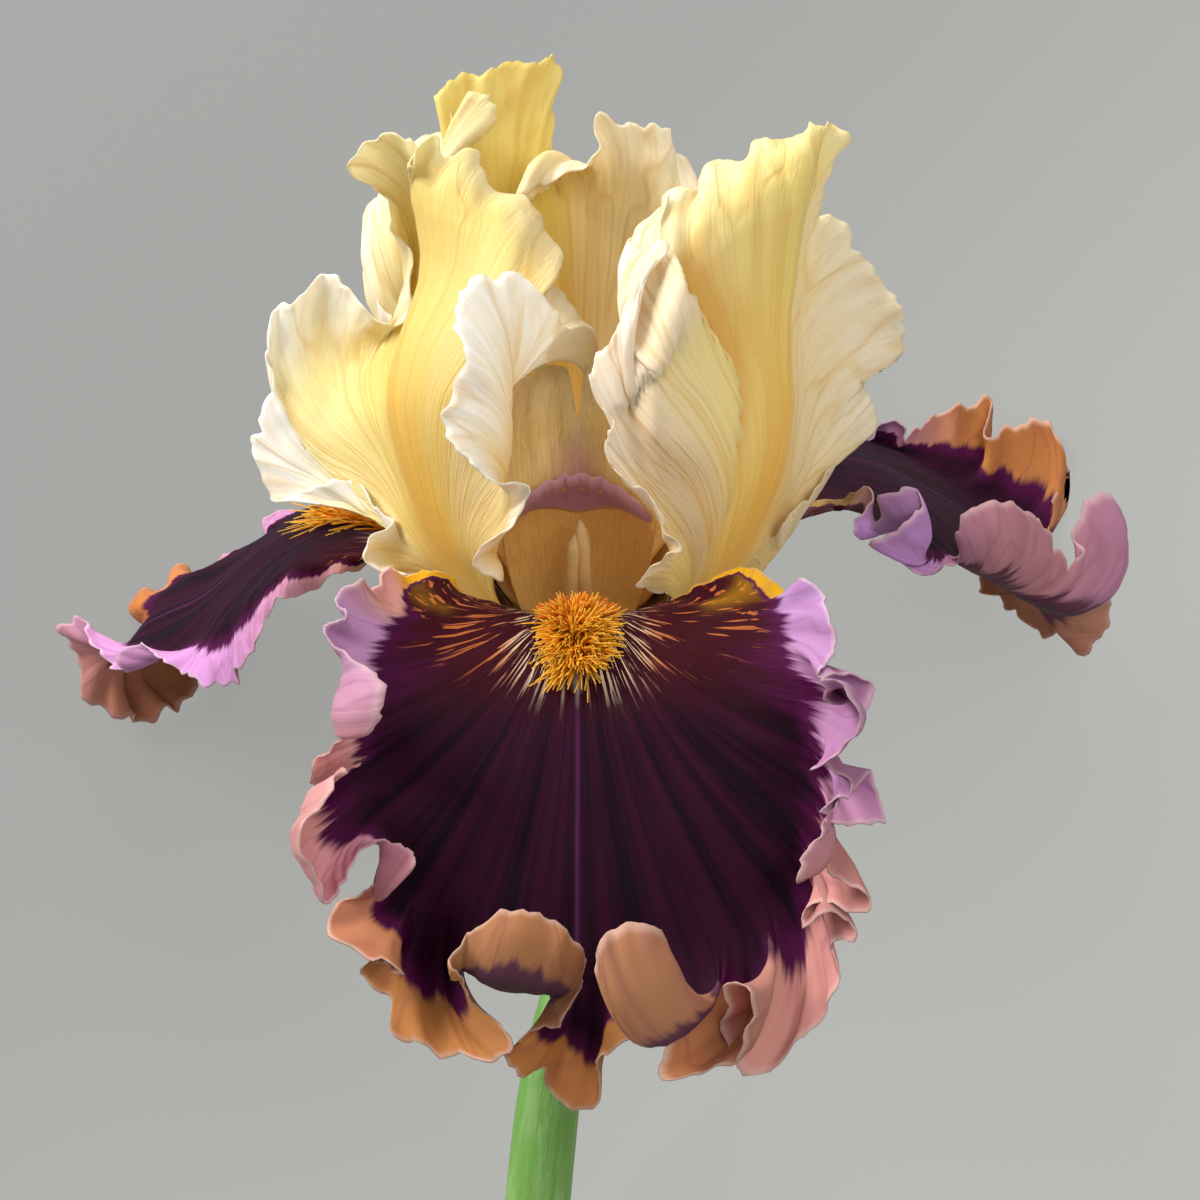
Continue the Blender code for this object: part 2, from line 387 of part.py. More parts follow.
STANDARD_RIGHT = Petal(
    azimuth=-30,
    midrib=((3.6, 0, 0.8), (11, 0, 6.5), (20, 0, 14), (26.4, 0, 22.2), (31, 0, 30.4), (33, 0, 40),
            (32.7, 0, 49.6), (33.5, 0, 57.8),
            (35, 0, 66), (38, 0, 73), (42, 0, 78.4)),
    roll=((0, 0), (100, 0)), fan=30, haft=1.6,
    blade=((-140, 12), (-120, 11), (-100, 12), (-80, 16), (-60, 22), (-40, 33), (-20, 42), (0, 47),
           (20, 40), (40, 27), (50, 19), (60, 14), (80, 10), (100, 8.5), (120, 8.5), (140, 9.5)),
    cup=((0, 6.0, 6.0), (20, 0, 1.6), (34, -3.0, 0.8), (60, -3.0, 0.7), (90, -1.5, 0.6)),
            keel=((0, 0, 0), (14, -4, 0), (24, -4, 8), (34, 26, 22), (44, 45, 22), (90, 45, 22)),
    margin=((-140, 668, 600, -13, 0), (-131, 648, 592, -17, 0), (-127, 636, 585, -19, 0),
            (-123, 643, 576, -20, 0), (-119, 656, 562, -22, 0),
            (-115, 668, 556, -24, 0), (-110, 680, 550, -25, 0), (-106, 668, 532, -26, 0),
            (-102, 664, 516, -27, 0), (-97, 648, 497, -28, 0),
            (-92, 625, 478, -29, 0), (-88, 607, 464, -29, 0), (-84, 606, 440, -30, 0),
            (-81, 610, 422, -32, 0), (-77, 598, 400, -33, 0), (-73, 589, 374, -33, 0),
            (-69, 600, 350, -33, 0), (-65, 615, 332, -33, 0), (-61, 624, 310, -33, 0),
            (-57, 641, 282, -33, 0), (-54, 655, 264, -32, 0),
            (-51, 668, 248, -30, 0), (-48.5, 660, 240, -29, 0), (-46, 648, 250, -28, 0),
            (-43, 636, 248, -27, 0), (-39, 634, 236, -25, 0),
            (-36, 650, 215, -24, 0), (-33, 667, 203, -23, 0), (-30, 664, 193, -24, 0),
            (-27, 680, 187, -22, 0), (-24, 700, 190, -20, 0),
            (-21, 702, 170, -18, 0), (-18, 720, 157, -17, 0), (-15, 740, 158, -16, 0),
            (-12, 752, 142, -16, 0), (-9, 763, 142, -15, 0),
            (-6, 785, 141, -14, 0), (-3, 800, 130, -13, 0), (0, 811, 119, -12, 0), (3, 825, 127, -11, 0),
            (6, 833, 122, -10, 0),
            (9, 849, 137, -8, 0), (12, 836, 155, -7, 0), (14.5, 822, 180, -5, 0), (17, 822, 200, 0, 0),
            (19.5, 812, 218, 2, 0),
            (22, 829, 215, 4, 0), (24.5, 850, 225, 5, 0), (27, 851, 247, 6, 0), (29.5, 866, 258, 7, 0),
            (32, 881, 280, 8, 0),
            (34.5, 893, 295, 8, 0), (37, 903, 312, 8, 0), (40, 906, 335, 8, 0), (43, 898, 358, 8, 0),
            (46, 880, 371, 7, 0),
            (49, 866, 378, 6, 0), (53, 870, 400, 6, 0), (57, 877, 425, 6, 0), (61.5, 864, 434, 5, 0),
            (66, 850, 421, 4, 0),
            (70, 832, 416, 4, 0), (75, 836, 432, 4, 0), (82, 835, 460, 1, 0), (90, 823, 482, -4, 0),
            (97, 810, 497, -6, 0),
            (104, 797, 511, -8, 0), (111, 782, 524, -9, 0), (119, 765, 545, -6, 0),
            (126, 746, 563, -8, 0), (132, 728, 577, -9, 0),
            (140, 700, 595, -9, 0)))

STANDARD_BACK = Petal(
    azimuth=90,
    midrib=((3.6, 0, 0.8), (9, 0, 8), (16, 0, 18), (23, 0, 30), (27, 0, 43), (26, 0, 56), (22, 0, 68),
            (19, 0, 78), (19, 0, 86)),
    roll=((0, 0), (100, 0)), fan=34, haft=1.6,
    blade=((-140, 11), (-120, 9.5), (-100, 10), (-80, 14), (-60, 24), (-40, 36), (-20, 42), (0, 44),
           (20, 42), (40, 36), (60, 24), (80, 14), (100, 10), (120, 9.5), (140, 11)),
    cup=((0, 6.0, 6.0), (16, 0.8, 0.8), (40, 0.6, 0.6), (60, 1.1, 1.1), (90, 0.6, 0.6)), keel=((0, 0, 0),
            (20, 4, 4), (40, 8, 8), (90, 12, 12)),
    margin=((-140, 640, 530, 19, 0), (-125, 646, 524, 19, 0), (-110, 660, 500, 19, 0),
            (-95, 684, 470, 18, 0), (-80, 715, 435, 17, 0),
            (-65, 745, 390, 17, 0), (-52, 750, 330, 18, 0), (-42, 725, 270, 20, 0),
            (-34, 712, 220, 22, 0), (-28, 698, 181, 22, 0),
            (-24, 685, 160, 20, 0), (-21, 670, 148, 18, 0), (-18, 673, 130, 17, 0),
            (-15, 655, 126, 15, 0), (-12, 637, 125, 14, 0),
            (-9, 616, 122, 13, 0), (-7, 598, 113, 12, 0), (-5, 596, 148, 12, 0), (-3, 573, 173, 10, 0),
            (-1, 540, 186, 7, 0),
            (1, 521, 199, 5, 0), (3, 545, 190, 13, 0), (5, 551, 140, 20, 0), (7, 555, 90, 20, 0),
            (9, 556, 58, 19, 0),
            (11, 543, 60, 17, 0), (13, 521, 63, 15, 0), (15, 500, 64, 14, 0), (17, 478, 74, 13, 0),
            (19, 460, 77, 12, 0),
            (21, 437, 90, 11, 0), (23, 448, 110, 12, 0), (25, 462, 126, 10, 0), (27, 474, 115, 7, 0),
            (29, 471, 92, 5, 0),
            (31, 486, 97, 4, 0), (33, 497, 112, 5, 0), (35, 487, 134, 8, 0), (37, 468, 135, 14, 0),
            (39, 445, 130, 20, 0),
            (42, 415, 145, 24, 0), (46, 390, 180, 24, 0), (50, 370, 205, 22, 0), (54, 364, 235, 20, 0),
            (58, 366, 260, 18, 0),
            (62, 378, 295, 16, 0), (66, 390, 322, 14, 0), (70, 408, 350, 14, 0), (80, 440, 430, 16, 0),
            (95, 474, 470, 18, 0),
            (110, 498, 500, 19, 0), (125, 512, 524, 19, 0), (140, 520, 530, 19, 0)))


def halves(a, b, c, d, along_ac):
    """Two triangles for each four-sided cell abcd, split along ac where asked and along bd elsewhere."""
    first = np.stack([np.stack([a, b, c], -1), np.stack([a, c, d], -1)], 2)
    second = np.stack([np.stack([a, b, d], -1), np.stack([b, c, d], -1)], 2)
    return np.where(along_ac[..., None, None], first, second).reshape(-1, 3)


def closed_faces(front, index):
    """The front's triangles, the same ones turned round for the back, and the strip round the rim."""
    loop = np.concatenate([index[:, 0], index[-1, 1:], index[-2::-1, -1], index[0, -2:0:-1]])
    after = np.roll(loop, -1)
    low = index.size
    rim = (np.stack([loop, loop + low, after], -1), np.stack([after, loop + low, after + low], -1))
    return np.concatenate([front, front[:, ::-1] + low, *rim])


def shell(rows, thickness):
    """A closed skin round a sheet of points (rows x columns x 3), both faces split into triangles alike."""
    n, m = rows.shape[:2]
    index = np.arange(n * m).reshape(n, m)
    a, b, c, d = index[:-1, :-1], index[1:, :-1], index[1:, 1:], index[:-1, 1:]
    flat = rows.reshape(-1, 3)
    short = np.linalg.norm(flat[a] - flat[c], axis=-1) <= np.linalg.norm(flat[b] - flat[d], axis=-1)
    front = halves(a, b, c, d, short)
    corner = flat[front]
    across = np.cross(corner[:, 1] - corner[:, 0], corner[:, 2] - corner[:, 0])
    normal = np.zeros_like(flat)
    for k in range(3):
        np.add.at(normal, front[:, k], across)
    normal = unit(normal)
    points = np.concatenate([flat + normal * thickness / 2, flat - normal * thickness / 2])
    return points, closed_faces(front, index)


def swept(path, radius, section):
    """A closed body along a path: rings of the section's shape scaled by the radius at each point."""
    path, radius = np.array(path, float), np.array(radius, float)
    tangent = unit(np.gradient(path, axis=0))
    side = unit(np.cross(tangent, [0.31, 0.95, 0.02]))
    other = np.cross(tangent, side)
    turn = np.linspace(0, 2 * np.pi, len(section), endpoint=False)
    ring = np.stack([np.cos(turn) * section, np.sin(turn) * section], -1)
    round_it = ring[None, :, :1] * side[:, None] + ring[None, :, 1:] * other[:, None]
    rows = path[:, None] + radius[:, None, None] * round_it
    n, m = rows.shape[:2]
    index = np.arange(n * m).reshape(n, m)
    nxt = np.roll(index, -1, axis=1)
    a, b, c, d = index[:-1], nxt[:-1], nxt[1:], index[1:]
    faces = halves(a, b, c, d, np.ones(a.shape, bool))
    first, last = n * m, n * m + 1
    caps = np.concatenate([np.stack([index[0], np.full(m, first), nxt[0]], -1),
                           np.stack([index[-1], nxt[-1], np.full(m, last)], -1)])
    return np.concatenate([rows.reshape(-1, 3), path[:1], path[-1:]]), np.concatenate([faces, caps])


def in_plane(azimuth, points):
    """From (out, sideways, up) of one arm's own plane to the flower's frame."""
    turn = np.radians(azimuth)
    points = np.asarray(points, float)
    c, s = np.cos(turn), np.sin(turn)
    return points @ np.array([[c, s, 0], [-s, c, 0], [0, 0, 1]])


BEARD_GRID = 15, 7


def beard(petal, first, last, width, height, lean):
    """A strip of bristles on the inner face: every second point of a fine grid is drawn up into a bristle."""
    n, m = BEARD_GRID
    along = np.linspace(first, last, n)
    share = (along - first) / (last - first)
    half = width * (1 - share**3 * 0.75) * (0.72 + 0.28 * np.minimum(share * 6, 1))
    across = np.linspace(-1, 1, m)
    flat = np.stack([half[:, None] * across[None], np.broadcast_to(along[:, None], (n, m))], -1)
    ground = laid(petal, flat)
    tangent, normal = midrib_frame(petal, np.broadcast_to(along[:, None], (n, m)))[1::2]
    rim = np.minimum(np.minimum(np.arange(n)[:, None], np.arange(n)[::-1, None]),
                     np.minimum(np.arange(m)[None], np.arange(m)[::-1][None]))
    spike = ((np.arange(n)[:, None] + np.arange(m)[None]) % 2 == 0) & (rim > 0)
    tuft = 0.75 + 0.25 * np.sin(7.1 * np.arange(n))[:, None] * np.cos(5.3 * np.arange(m))[None]
    rise = np.where(spike, height * tuft * (1 - 0.35 * across[None] ** 2) * (1 - 0.35 * share[:, None]), 0.9)
    rise = np.where(rim == 0, 0.35, rise)
    side = np.cross(tangent, normal)
    drift = np.where(spike, 1.0, 0)[..., None] * (lean * tangent - 0.9 * across[None, :, None] * side)
    top = ground + (0.7 + rise)[..., None] * normal + drift
    bottom = ground + 0.7 * normal
    index = np.arange(n * m).reshape(n, m)
    a, b, c, d = index[:-1, :-1], index[1:, :-1], index[1:, 1:], index[:-1, 1:]
    # each split runs between the low points, so that a bristle stays a sharp pyramid
    front = halves(a, b, c, d, ~spike[:-1, :-1])
    return (np.concatenate([top.reshape(-1, 3), bottom.reshape(-1, 3)]), closed_faces(front, index))


ARM_LINE = ((1.9, 0.7), (2.8, 8), (5.2, 16), (9.5, 23.5), (14.5, 28.6), (19.0, 30.2))
CREST_LINE = ((19.0, 30.2), (18.6, 35), (16.4, 41), (14.5, 46))
FULL_WIDTH = 10.6


def style_arm(azimuth, wide, n_s, n_t):
    """The arm: a roof-shaped strip from the axis out over the fall, then two crests that stand up at its end."""
    arm, crest = np.array(ARM_LINE), np.array(CREST_LINE)
    line = np.concatenate([arm, crest[1:]])
    run = np.concatenate([[0], np.cumsum(np.linalg.norm(np.diff(line, axis=0), axis=1))])
    lip_at = run[len(arm) - 1]
    s = np.linspace(-1, 1, n_s)
    end = run[-1] + 1.5 - 12.5 * np.exp(-(s / 0.13) ** 2) - 5.5 * np.abs(s) ** 5 + 0.8 * np.sin(11 * s)
    t = np.linspace(0, 1, n_t)
    reach = t[None] * end[:, None]
    out = through(reach, np.column_stack([run, line[:, 0]]))
    up = through(reach, np.column_stack([run, line[:, 1]]))
    half = through(reach, ((0, 1.2), (10, 3.0), (20, 6.2), (lip_at, wide), (lip_at + 8, 1.04 * wide),
                           (run[-1], 0.8 * wide)))
    side = s[None].T * half
    droop = through(reach, ((0, 0), (8, 0.8), (15, 2.4), (lip_at, 5.6), (lip_at + 10, 1.2), (run[-1], -1.0)))
    up = up - droop * (wide / FULL_WIDTH) ** 2 * s[:, None] ** 2
    on_crest = np.clip((reach - lip_at - 2) / 10, 0, 1)
    out = out - 1.2 * s[:, None] ** 2 * np.clip(reach / lip_at, 0, 1) + 1.1 * np.sin(9 * s)[:, None] * on_crest
    return in_plane(azimuth, np.stack([out, side, up], -1))


def style_lip(azimuth, wide, n):
    """The lip: a short scalloped flap hanging from the arm's end across its whole width."""
    s = np.linspace(-0.96, 0.96, n)
    t = np.linspace(0, 1, 3)
    root_out, root_side = 17.6 - 1.2 * s**2, 0.97 * wide * s
    root_up = 30.15 - 5.6 * (wide / FULL_WIDTH) ** 2 * s**2
    length = (4.6 + 0.5 * np.sin(14 * s)) * (1 - 0.5 * s**4)
    angle = np.radians(28 - 16 * t)
    out = root_out[:, None] + (length[:, None] * t[None]) * np.cos(angle)[None]
    wave = 0.35 * np.sin(10 * s)[:, None] * t[None]
    up = root_up[:, None] - (length[:, None] * t[None]) * np.sin(angle)[None] * 0.9 + wave
    side = root_side[:, None] * (1 + 0.05 * t[None])
    return in_plane(azimuth, np.stack([out, side, up], -1))


def stamen(azimuth, n):
    """A thin filament that swells into a long flat anther."""
    share = np.linspace(0, 1, n)
    line = through(share, ((0, 3.3, 0.9), (0.25, 4.6, 6.5), (0.5, 8.2, 12.6), (0.62, 10.6, 15.4),
                           (0.8, 13.6, 20.0), (1, 15.6, 25.0)))
    radius = through(share, ((0, 0.55), (0.5, 0.5), (0.58, 0.7), (0.66, 1.35), (0.8, 1.5), (0.93, 1.1),
                             (1, 0.35)))
    path = in_plane(azimuth, np.stack([line[:, 0], 0 * share, line[:, 1]], -1))
    return swept(path, radius, np.ones(6))


STALK = ((0, 0, 0), (-0.2, 0, -10), (-0.8, 0, -24), (-1.7, 0, -38), (-3.0, 0, -47), (-4.3, 0, -56),
         (-5.2, 0, -64), (-5.9, 0, -71), (-6.9, 0, -82), (-7.9, 0, -94))


def stalk_line(height):
    return through(height, [(-z, x, y, z) for x, y, z in STALK])


STEM_RADIUS = 4.5


def ovary_tube():
    """From a flat seat under the petals down a narrow tube to the three-sided ovary."""
    drop = np.array([0, 2, 5, 10, 20, 35, 41, 47, 54, 65, 75.0])
    radius = through(drop, ((0, 6.9), (1.2, 6.8), (3.5, 5.9), (7, 4.6), (12, 3.7), (20, 3.1), (28, 2.8),
                            (35, 2.7), (39, 2.9), (43, 3.4), (47, 3.9), (51, 4.2), (56, 4.4), (62, 4.5),
                            (68, 4.55), (72, 4.55), (75, STEM_RADIUS)))
    turn = np.linspace(0, 2 * np.pi, SWEEP_SIDES, endpoint=False)
    return swept(stalk_line(drop), radius, 1 + 0.03 * np.cos(3 * turn))


def stem():
    drop = np.array([75.3, 85, 95])
    return swept(stalk_line(drop), np.full(len(drop), STEM_RADIUS), np.ones(SWEEP_SIDES))


def laid_down(points):
    """From the flower's own upright frame to the surface it lies on, in metres."""
    return (points @ LAY.T + SHIFT) * 0.001


def node(name, points, faces):
    points = laid_down(points)
    corner = points[faces]
    if np.linalg.det(corner).sum() < 0:
        faces = faces[:, ::-1]
    mesh = bpy.data.meshes.new(name)
    mesh.from_pydata(points.tolist(), [], faces.tolist())
    made = bpy.data.objects.new(name, mesh)
    bpy.context.scene.collection.objects.link(made)
    return made


def joined(name, first, second):
    """One body from two overlapping closed ones."""
    a, b = node(name, *first), node(name + "_second", *second)
    union = a.modifiers.new("union", "BOOLEAN")
    union.operation, union.solver, union.object = "UNION", "EXACT", b
    graph = bpy.context.evaluated_depsgraph_get()
    mesh = bpy.data.meshes.new_from_object(a.evaluated_get(graph))
    a.modifiers.clear()
    a.data = mesh
    bpy.data.objects.remove(b)
    return a


for extra in list(bpy.data.objects):
    bpy.data.objects.remove(extra)

INSIDE = np.array([0, 0.4, 0.75, 1])
BAND = np.array([0.5, 1])
PETALS = dict(fall_front=FALL_FRONT, fall_left=FALL_LEFT, fall_right=FALL_RIGHT, standard_left=STANDARD_LEFT,
              standard_right=STANDARD_RIGHT, standard_back=STANDARD_BACK)
for name, petal in PETALS.items():
    turns = spread(petal, 104 if name == "fall_front" else 56)
    node(name, *shell(sheet(petal, turns, INSIDE, BAND), THICK))
node("beard_front", *beard(FALL_FRONT, 12, 38, 5.0, 4.0, 1.2))
node("beard_left", *beard(FALL_LEFT, 24, 46, 4.6, 4.0, 1.2))
node("beard_right", *beard(FALL_RIGHT, 31, 48, 4.2, 3.2, 1.2))
for where, azimuth, wide in (("front", -90, 10.6), ("left", 150, 8.2), ("right", 30, 7.6)):
    arm, lip = style_arm(azimuth, wide, 15, 8), style_lip(azimuth, wide, 9)
    joined("style_" + where, shell(arm, THIN), shell(lip, THIN))
    node("stamen_" + where, *stamen(azimuth, 13))
node("ovary_tube", *ovary_tube())
node("stem", *stem())
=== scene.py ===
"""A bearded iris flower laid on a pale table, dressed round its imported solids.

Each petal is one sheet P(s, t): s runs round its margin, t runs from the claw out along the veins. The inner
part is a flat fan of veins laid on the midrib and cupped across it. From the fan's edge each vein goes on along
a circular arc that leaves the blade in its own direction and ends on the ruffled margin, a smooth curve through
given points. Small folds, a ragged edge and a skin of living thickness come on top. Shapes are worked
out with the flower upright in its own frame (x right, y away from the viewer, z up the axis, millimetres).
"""

from collections import namedtuple

import bpy
import numpy as np
from mathutils import Matrix, Vector


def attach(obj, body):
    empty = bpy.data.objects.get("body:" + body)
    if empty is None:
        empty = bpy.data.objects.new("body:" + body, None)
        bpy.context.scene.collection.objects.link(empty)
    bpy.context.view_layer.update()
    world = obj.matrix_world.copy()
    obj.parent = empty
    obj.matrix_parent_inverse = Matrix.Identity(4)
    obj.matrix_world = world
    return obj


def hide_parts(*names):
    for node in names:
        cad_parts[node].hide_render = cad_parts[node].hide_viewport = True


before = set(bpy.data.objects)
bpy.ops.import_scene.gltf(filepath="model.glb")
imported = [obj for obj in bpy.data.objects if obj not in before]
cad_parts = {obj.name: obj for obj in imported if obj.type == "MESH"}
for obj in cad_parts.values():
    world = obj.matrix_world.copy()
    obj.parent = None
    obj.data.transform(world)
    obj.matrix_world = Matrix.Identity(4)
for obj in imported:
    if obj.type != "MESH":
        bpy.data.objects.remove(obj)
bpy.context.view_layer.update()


def turned(axis, degrees):
    c, s = np.cos(np.radians(degrees)), np.sin(np.radians(degrees))
    about = {"x": ((1, 0, 0), (0, c, -s), (0, s, c)), "y": ((c, 0, s), (0, 1, 0), (-s, 0, c))}
    return np.array(about[axis])


# on its back: it rests on the far rims of the two side falls and on the cut end of the stem
ON_BACK = np.array(((1.0, 0, 0), (0, 0, 1.0), (0, -1.0, 0)))
LAY = turned("y", 2.46) @ turned("x", 24.88) @ ON_BACK
SHIFT = np.array((-0.01, -1.79, 43.26))
BLADE_SHARE = 0.62  # of the way from the claw to the margin


Petal = namedtuple("Petal", "azimuth midrib roll fan haft blade cup keel margin")

FAR = 700.0  # from the viewer to the flower's axis
STEP = 0.14  # one step across the view, at the axis
MIDDLE_STEP = 600
AXIS_X, MIDDLE_Z = 3, 14


def seen(right, down, depth):
    """A point given by where it shows from the front, in steps, and by how far behind the axis it lies."""
    k = STEP * (1 + depth / FAR)
    return np.array([AXIS_X + (right - MIDDLE_STEP) * k, depth, MIDDLE_Z + (MIDDLE_STEP - down) * k])


def through(x, points):
    """Smooth curve through (x, y) points: cubic Hermite with the mean slope of the neighbouring chords."""
    points = np.array(points, float)
    px, py = points[:, 0], points[:, 1:]
    width = np.diff(px)[:, None]
    chord = np.diff(py, axis=0) / width
    between = (chord[1:] * width[:-1] + chord[:-1] * width[1:]) / (width[1:] + width[:-1])
    slope = np.concatenate([chord[:1], between, chord[-1:]])
    x = np.clip(x, px[0], px[-1])
    k = np.clip(np.searchsorted(px, x, side="right") - 1, 0, len(px) - 2)
    width = width[k]
    u = ((x - px[k]) / width[..., 0])[..., None]
    got = ((2 * u**3 - 3 * u**2 + 1) * py[k] + (u**3 - 2 * u**2 + u) * width * slope[k]
           + (3 * u**2 - 2 * u**3) * py[k + 1] + (u**3 - u**2) * width * slope[k + 1])
    return got[..., 0] if got.shape[-1] == 1 else got


def unit(v):
    return v / np.linalg.norm(v, axis=-1, keepdims=True).clip(1e-9)


def midrib_frame(petal, along):
    turn = np.radians(petal.azimuth)
    out, side = np.array([np.cos(turn), np.sin(turn), 0]), np.array([-np.sin(turn), np.cos(turn), 0])
    up = np.array([0, 0, 1.0])
    marks = np.array(petal.midrib, float)
    chord = np.concatenate([[0], np.cumsum(np.linalg.norm(np.diff(marks, axis=0), axis=1))])
    dense = np.linspace(0, chord[-1], 400)
    line = through(dense, np.column_stack([chord, marks]))
    length = np.concatenate([[0], np.cumsum(np.linalg.norm(np.diff(line, axis=0), axis=1))])
    line = line @ np.array([out, side, up])
    tangent = unit(np.gradient(line, axis=0))
    width = unit(side - (tangent @ side)[:, None] * tangent)
    inner = np.cross(tangent, width)
    lean = np.radians(through(length, petal.roll))[:, None]
    width, inner = (np.cos(lean) * width + np.sin(lean) * inner,
                    np.cos(lean) * inner - np.sin(lean) * width)

    def at(values):
        flat = np.clip(along, 0, length[-1])
        return np.stack([np.interp(flat, length, values[:, i]) for i in range(3)], -1)

    past = (along - length[-1]).clip(0)[..., None]
    early = along.clip(None, 0)[..., None]
    return at(line) + past * tangent[-1] + early * tangent[0], at(tangent), at(width), at(inner)


def laid(petal, flat):
    """The blade bent in space: flat (across, along) points set on the midrib, cupped across."""
    a, along = flat[..., 0], flat[..., 1]
    point, tangent, width, inner = midrib_frame(petal, along)
    share = (np.arange(14) + 0.5) / 14
    cup = np.radians(through(along, petal.cup))
    right = (a > 0)
    cup = np.where(right, cup[..., 0], cup[..., 1])[..., None]
    part = a[..., None] * share
    keel = np.radians(through(along, petal.keel))
    keel = np.where(right, keel[..., 0], keel[..., 1])[..., None]
    omega = cup * part + keel * np.tanh(part / 3)
    across, rise = a * np.cos(omega).mean(-1), a * np.sin(omega).mean(-1)
    return point + across[..., None] * width + rise[..., None] * inner


def fan_edge(petal, angle):
    """The blade's edge in the flat (across, along) layout."""
    radius = through(angle, petal.blade)
    turn = np.radians(angle)
    return np.stack([radius * np.sin(turn), petal.fan + radius * np.cos(turn)], -1)


def blade_flat(petal, angle, share):
    """Flat (across, along) of the blade: angle round the fan, share 0 at the claw to 1 at the blade's edge."""
    ends = petal.blade[0][0], petal.blade[-1][0]
    s = np.interp(angle, [ends[0], 0, ends[1]], [-1, 0, 1])
    rim = fan_edge(petal, angle)
    # a vein leaves the bundle just under the fan's centre, or lower down where it ends low on the haft
    most = 1.1 * petal.fan
    soft = 0.2
    leave = 0.9 * (most - np.log1p(np.exp((most - rim[..., 1]) * soft)) / soft)
    p0 = np.stack([s * petal.haft, 0 * s], -1)
    p1 = np.stack([s * petal.haft * 1.15, 0.5 * leave], -1)
    p2 = np.stack([s * petal.haft * 1.3, leave], -1)
    w = share[..., None]
    return p0 * (1 - w) ** 3 + 3 * p1 * w * (1 - w) ** 2 + 3 * p2 * w**2 * (1 - w) + rim * w**3


def blade(petal, angle, share):
    return laid(petal, blade_flat(petal, angle, share))


def arc(start, heading, end, share):
    """Points along the circular arc that leaves start along heading and reaches end."""
    chord = end - start
    length = np.linalg.norm(chord, axis=-1, keepdims=True).clip(1e-6)
    c = chord / length
    along = (c * heading).sum(-1, keepdims=True).clip(-0.8, 1)
    side = unit(c - along * heading)
    half = np.arccos(along)
    straight = half < 0.02
    safe = np.where(straight, 0.02, half)
    radius = length / (2 * np.sin(safe))
    turn = 2 * safe * share[..., None]
    bent = radius * (np.sin(turn) * heading + (1 - np.cos(turn)) * side)
    # exact end even where the heading was limited
    reach = radius * (np.sin(2 * safe) * heading + (1 - np.cos(2 * safe)) * side)
    bent = bent + share[..., None] * (chord - reach)
    return start + bent


def sheet(petal, angle, inside, band):
    """The middle surface: a row at each angle round the fan, columns at shares of the blade, then of the band."""
    edge = through(angle, [(a, *seen(r, d, z), lift) for a, r, d, z, lift in petal.margin])
    edge, lift = edge[:, :3], edge[:, 3:]
    place = blade(petal, *np.meshgrid(angle, inside, indexing="ij"))
    last = place[:, -1]
    heading = unit(last - blade(petal, angle, np.full_like(angle, 0.985)))
    near_end = np.minimum(angle - petal.blade[0][0], petal.blade[-1][0] - angle)
    ease = (near_end / 9).clip(0, 1)[:, None]
    ease = ease * ease * (3 - 2 * ease)
    # low on the haft the band is only a narrow strip straight across
    beside = laid(petal, fan_edge(petal, angle) + np.stack([np.sign(angle), 0 * angle], -1))
    heading = unit(ease * heading + (1 - ease) * unit(beside - last))
    edge = beside + ease * (edge - beside)
    lift = lift * ease
    band_share = np.broadcast_to(band, (len(angle), len(band)))
    rows = arc(last[:, None], heading[:, None], edge[:, None], band_share)
    near = unit(blade(petal, angle + 0.5, np.ones_like(angle)) - last)
    up = unit(np.cross(near, heading))
    rows = rows + (lift * (4 * band * (1 - band)))[..., None] * up[:, None]
    return np.concatenate([place, rows], 1)


def spread(petal, count):
    """Angles that step evenly along the margin and the blade's edge together."""
    dense = np.linspace(petal.blade[0][0], petal.blade[-1][0], 3001)
    edge = through(dense, [(a, *seen(r, d, z)) for a, r, d, z, _ in petal.margin])
    inner = blade(petal, dense, np.ones_like(dense))
    outer_step, inner_step = (np.linalg.norm(np.diff(line, axis=0), axis=1) for line in (edge, inner))
    run = np.concatenate([[0], np.cumsum(outer_step + 0.7 * inner_step)])
    return np.interp(np.linspace(0, run[-1], count), run, dense)


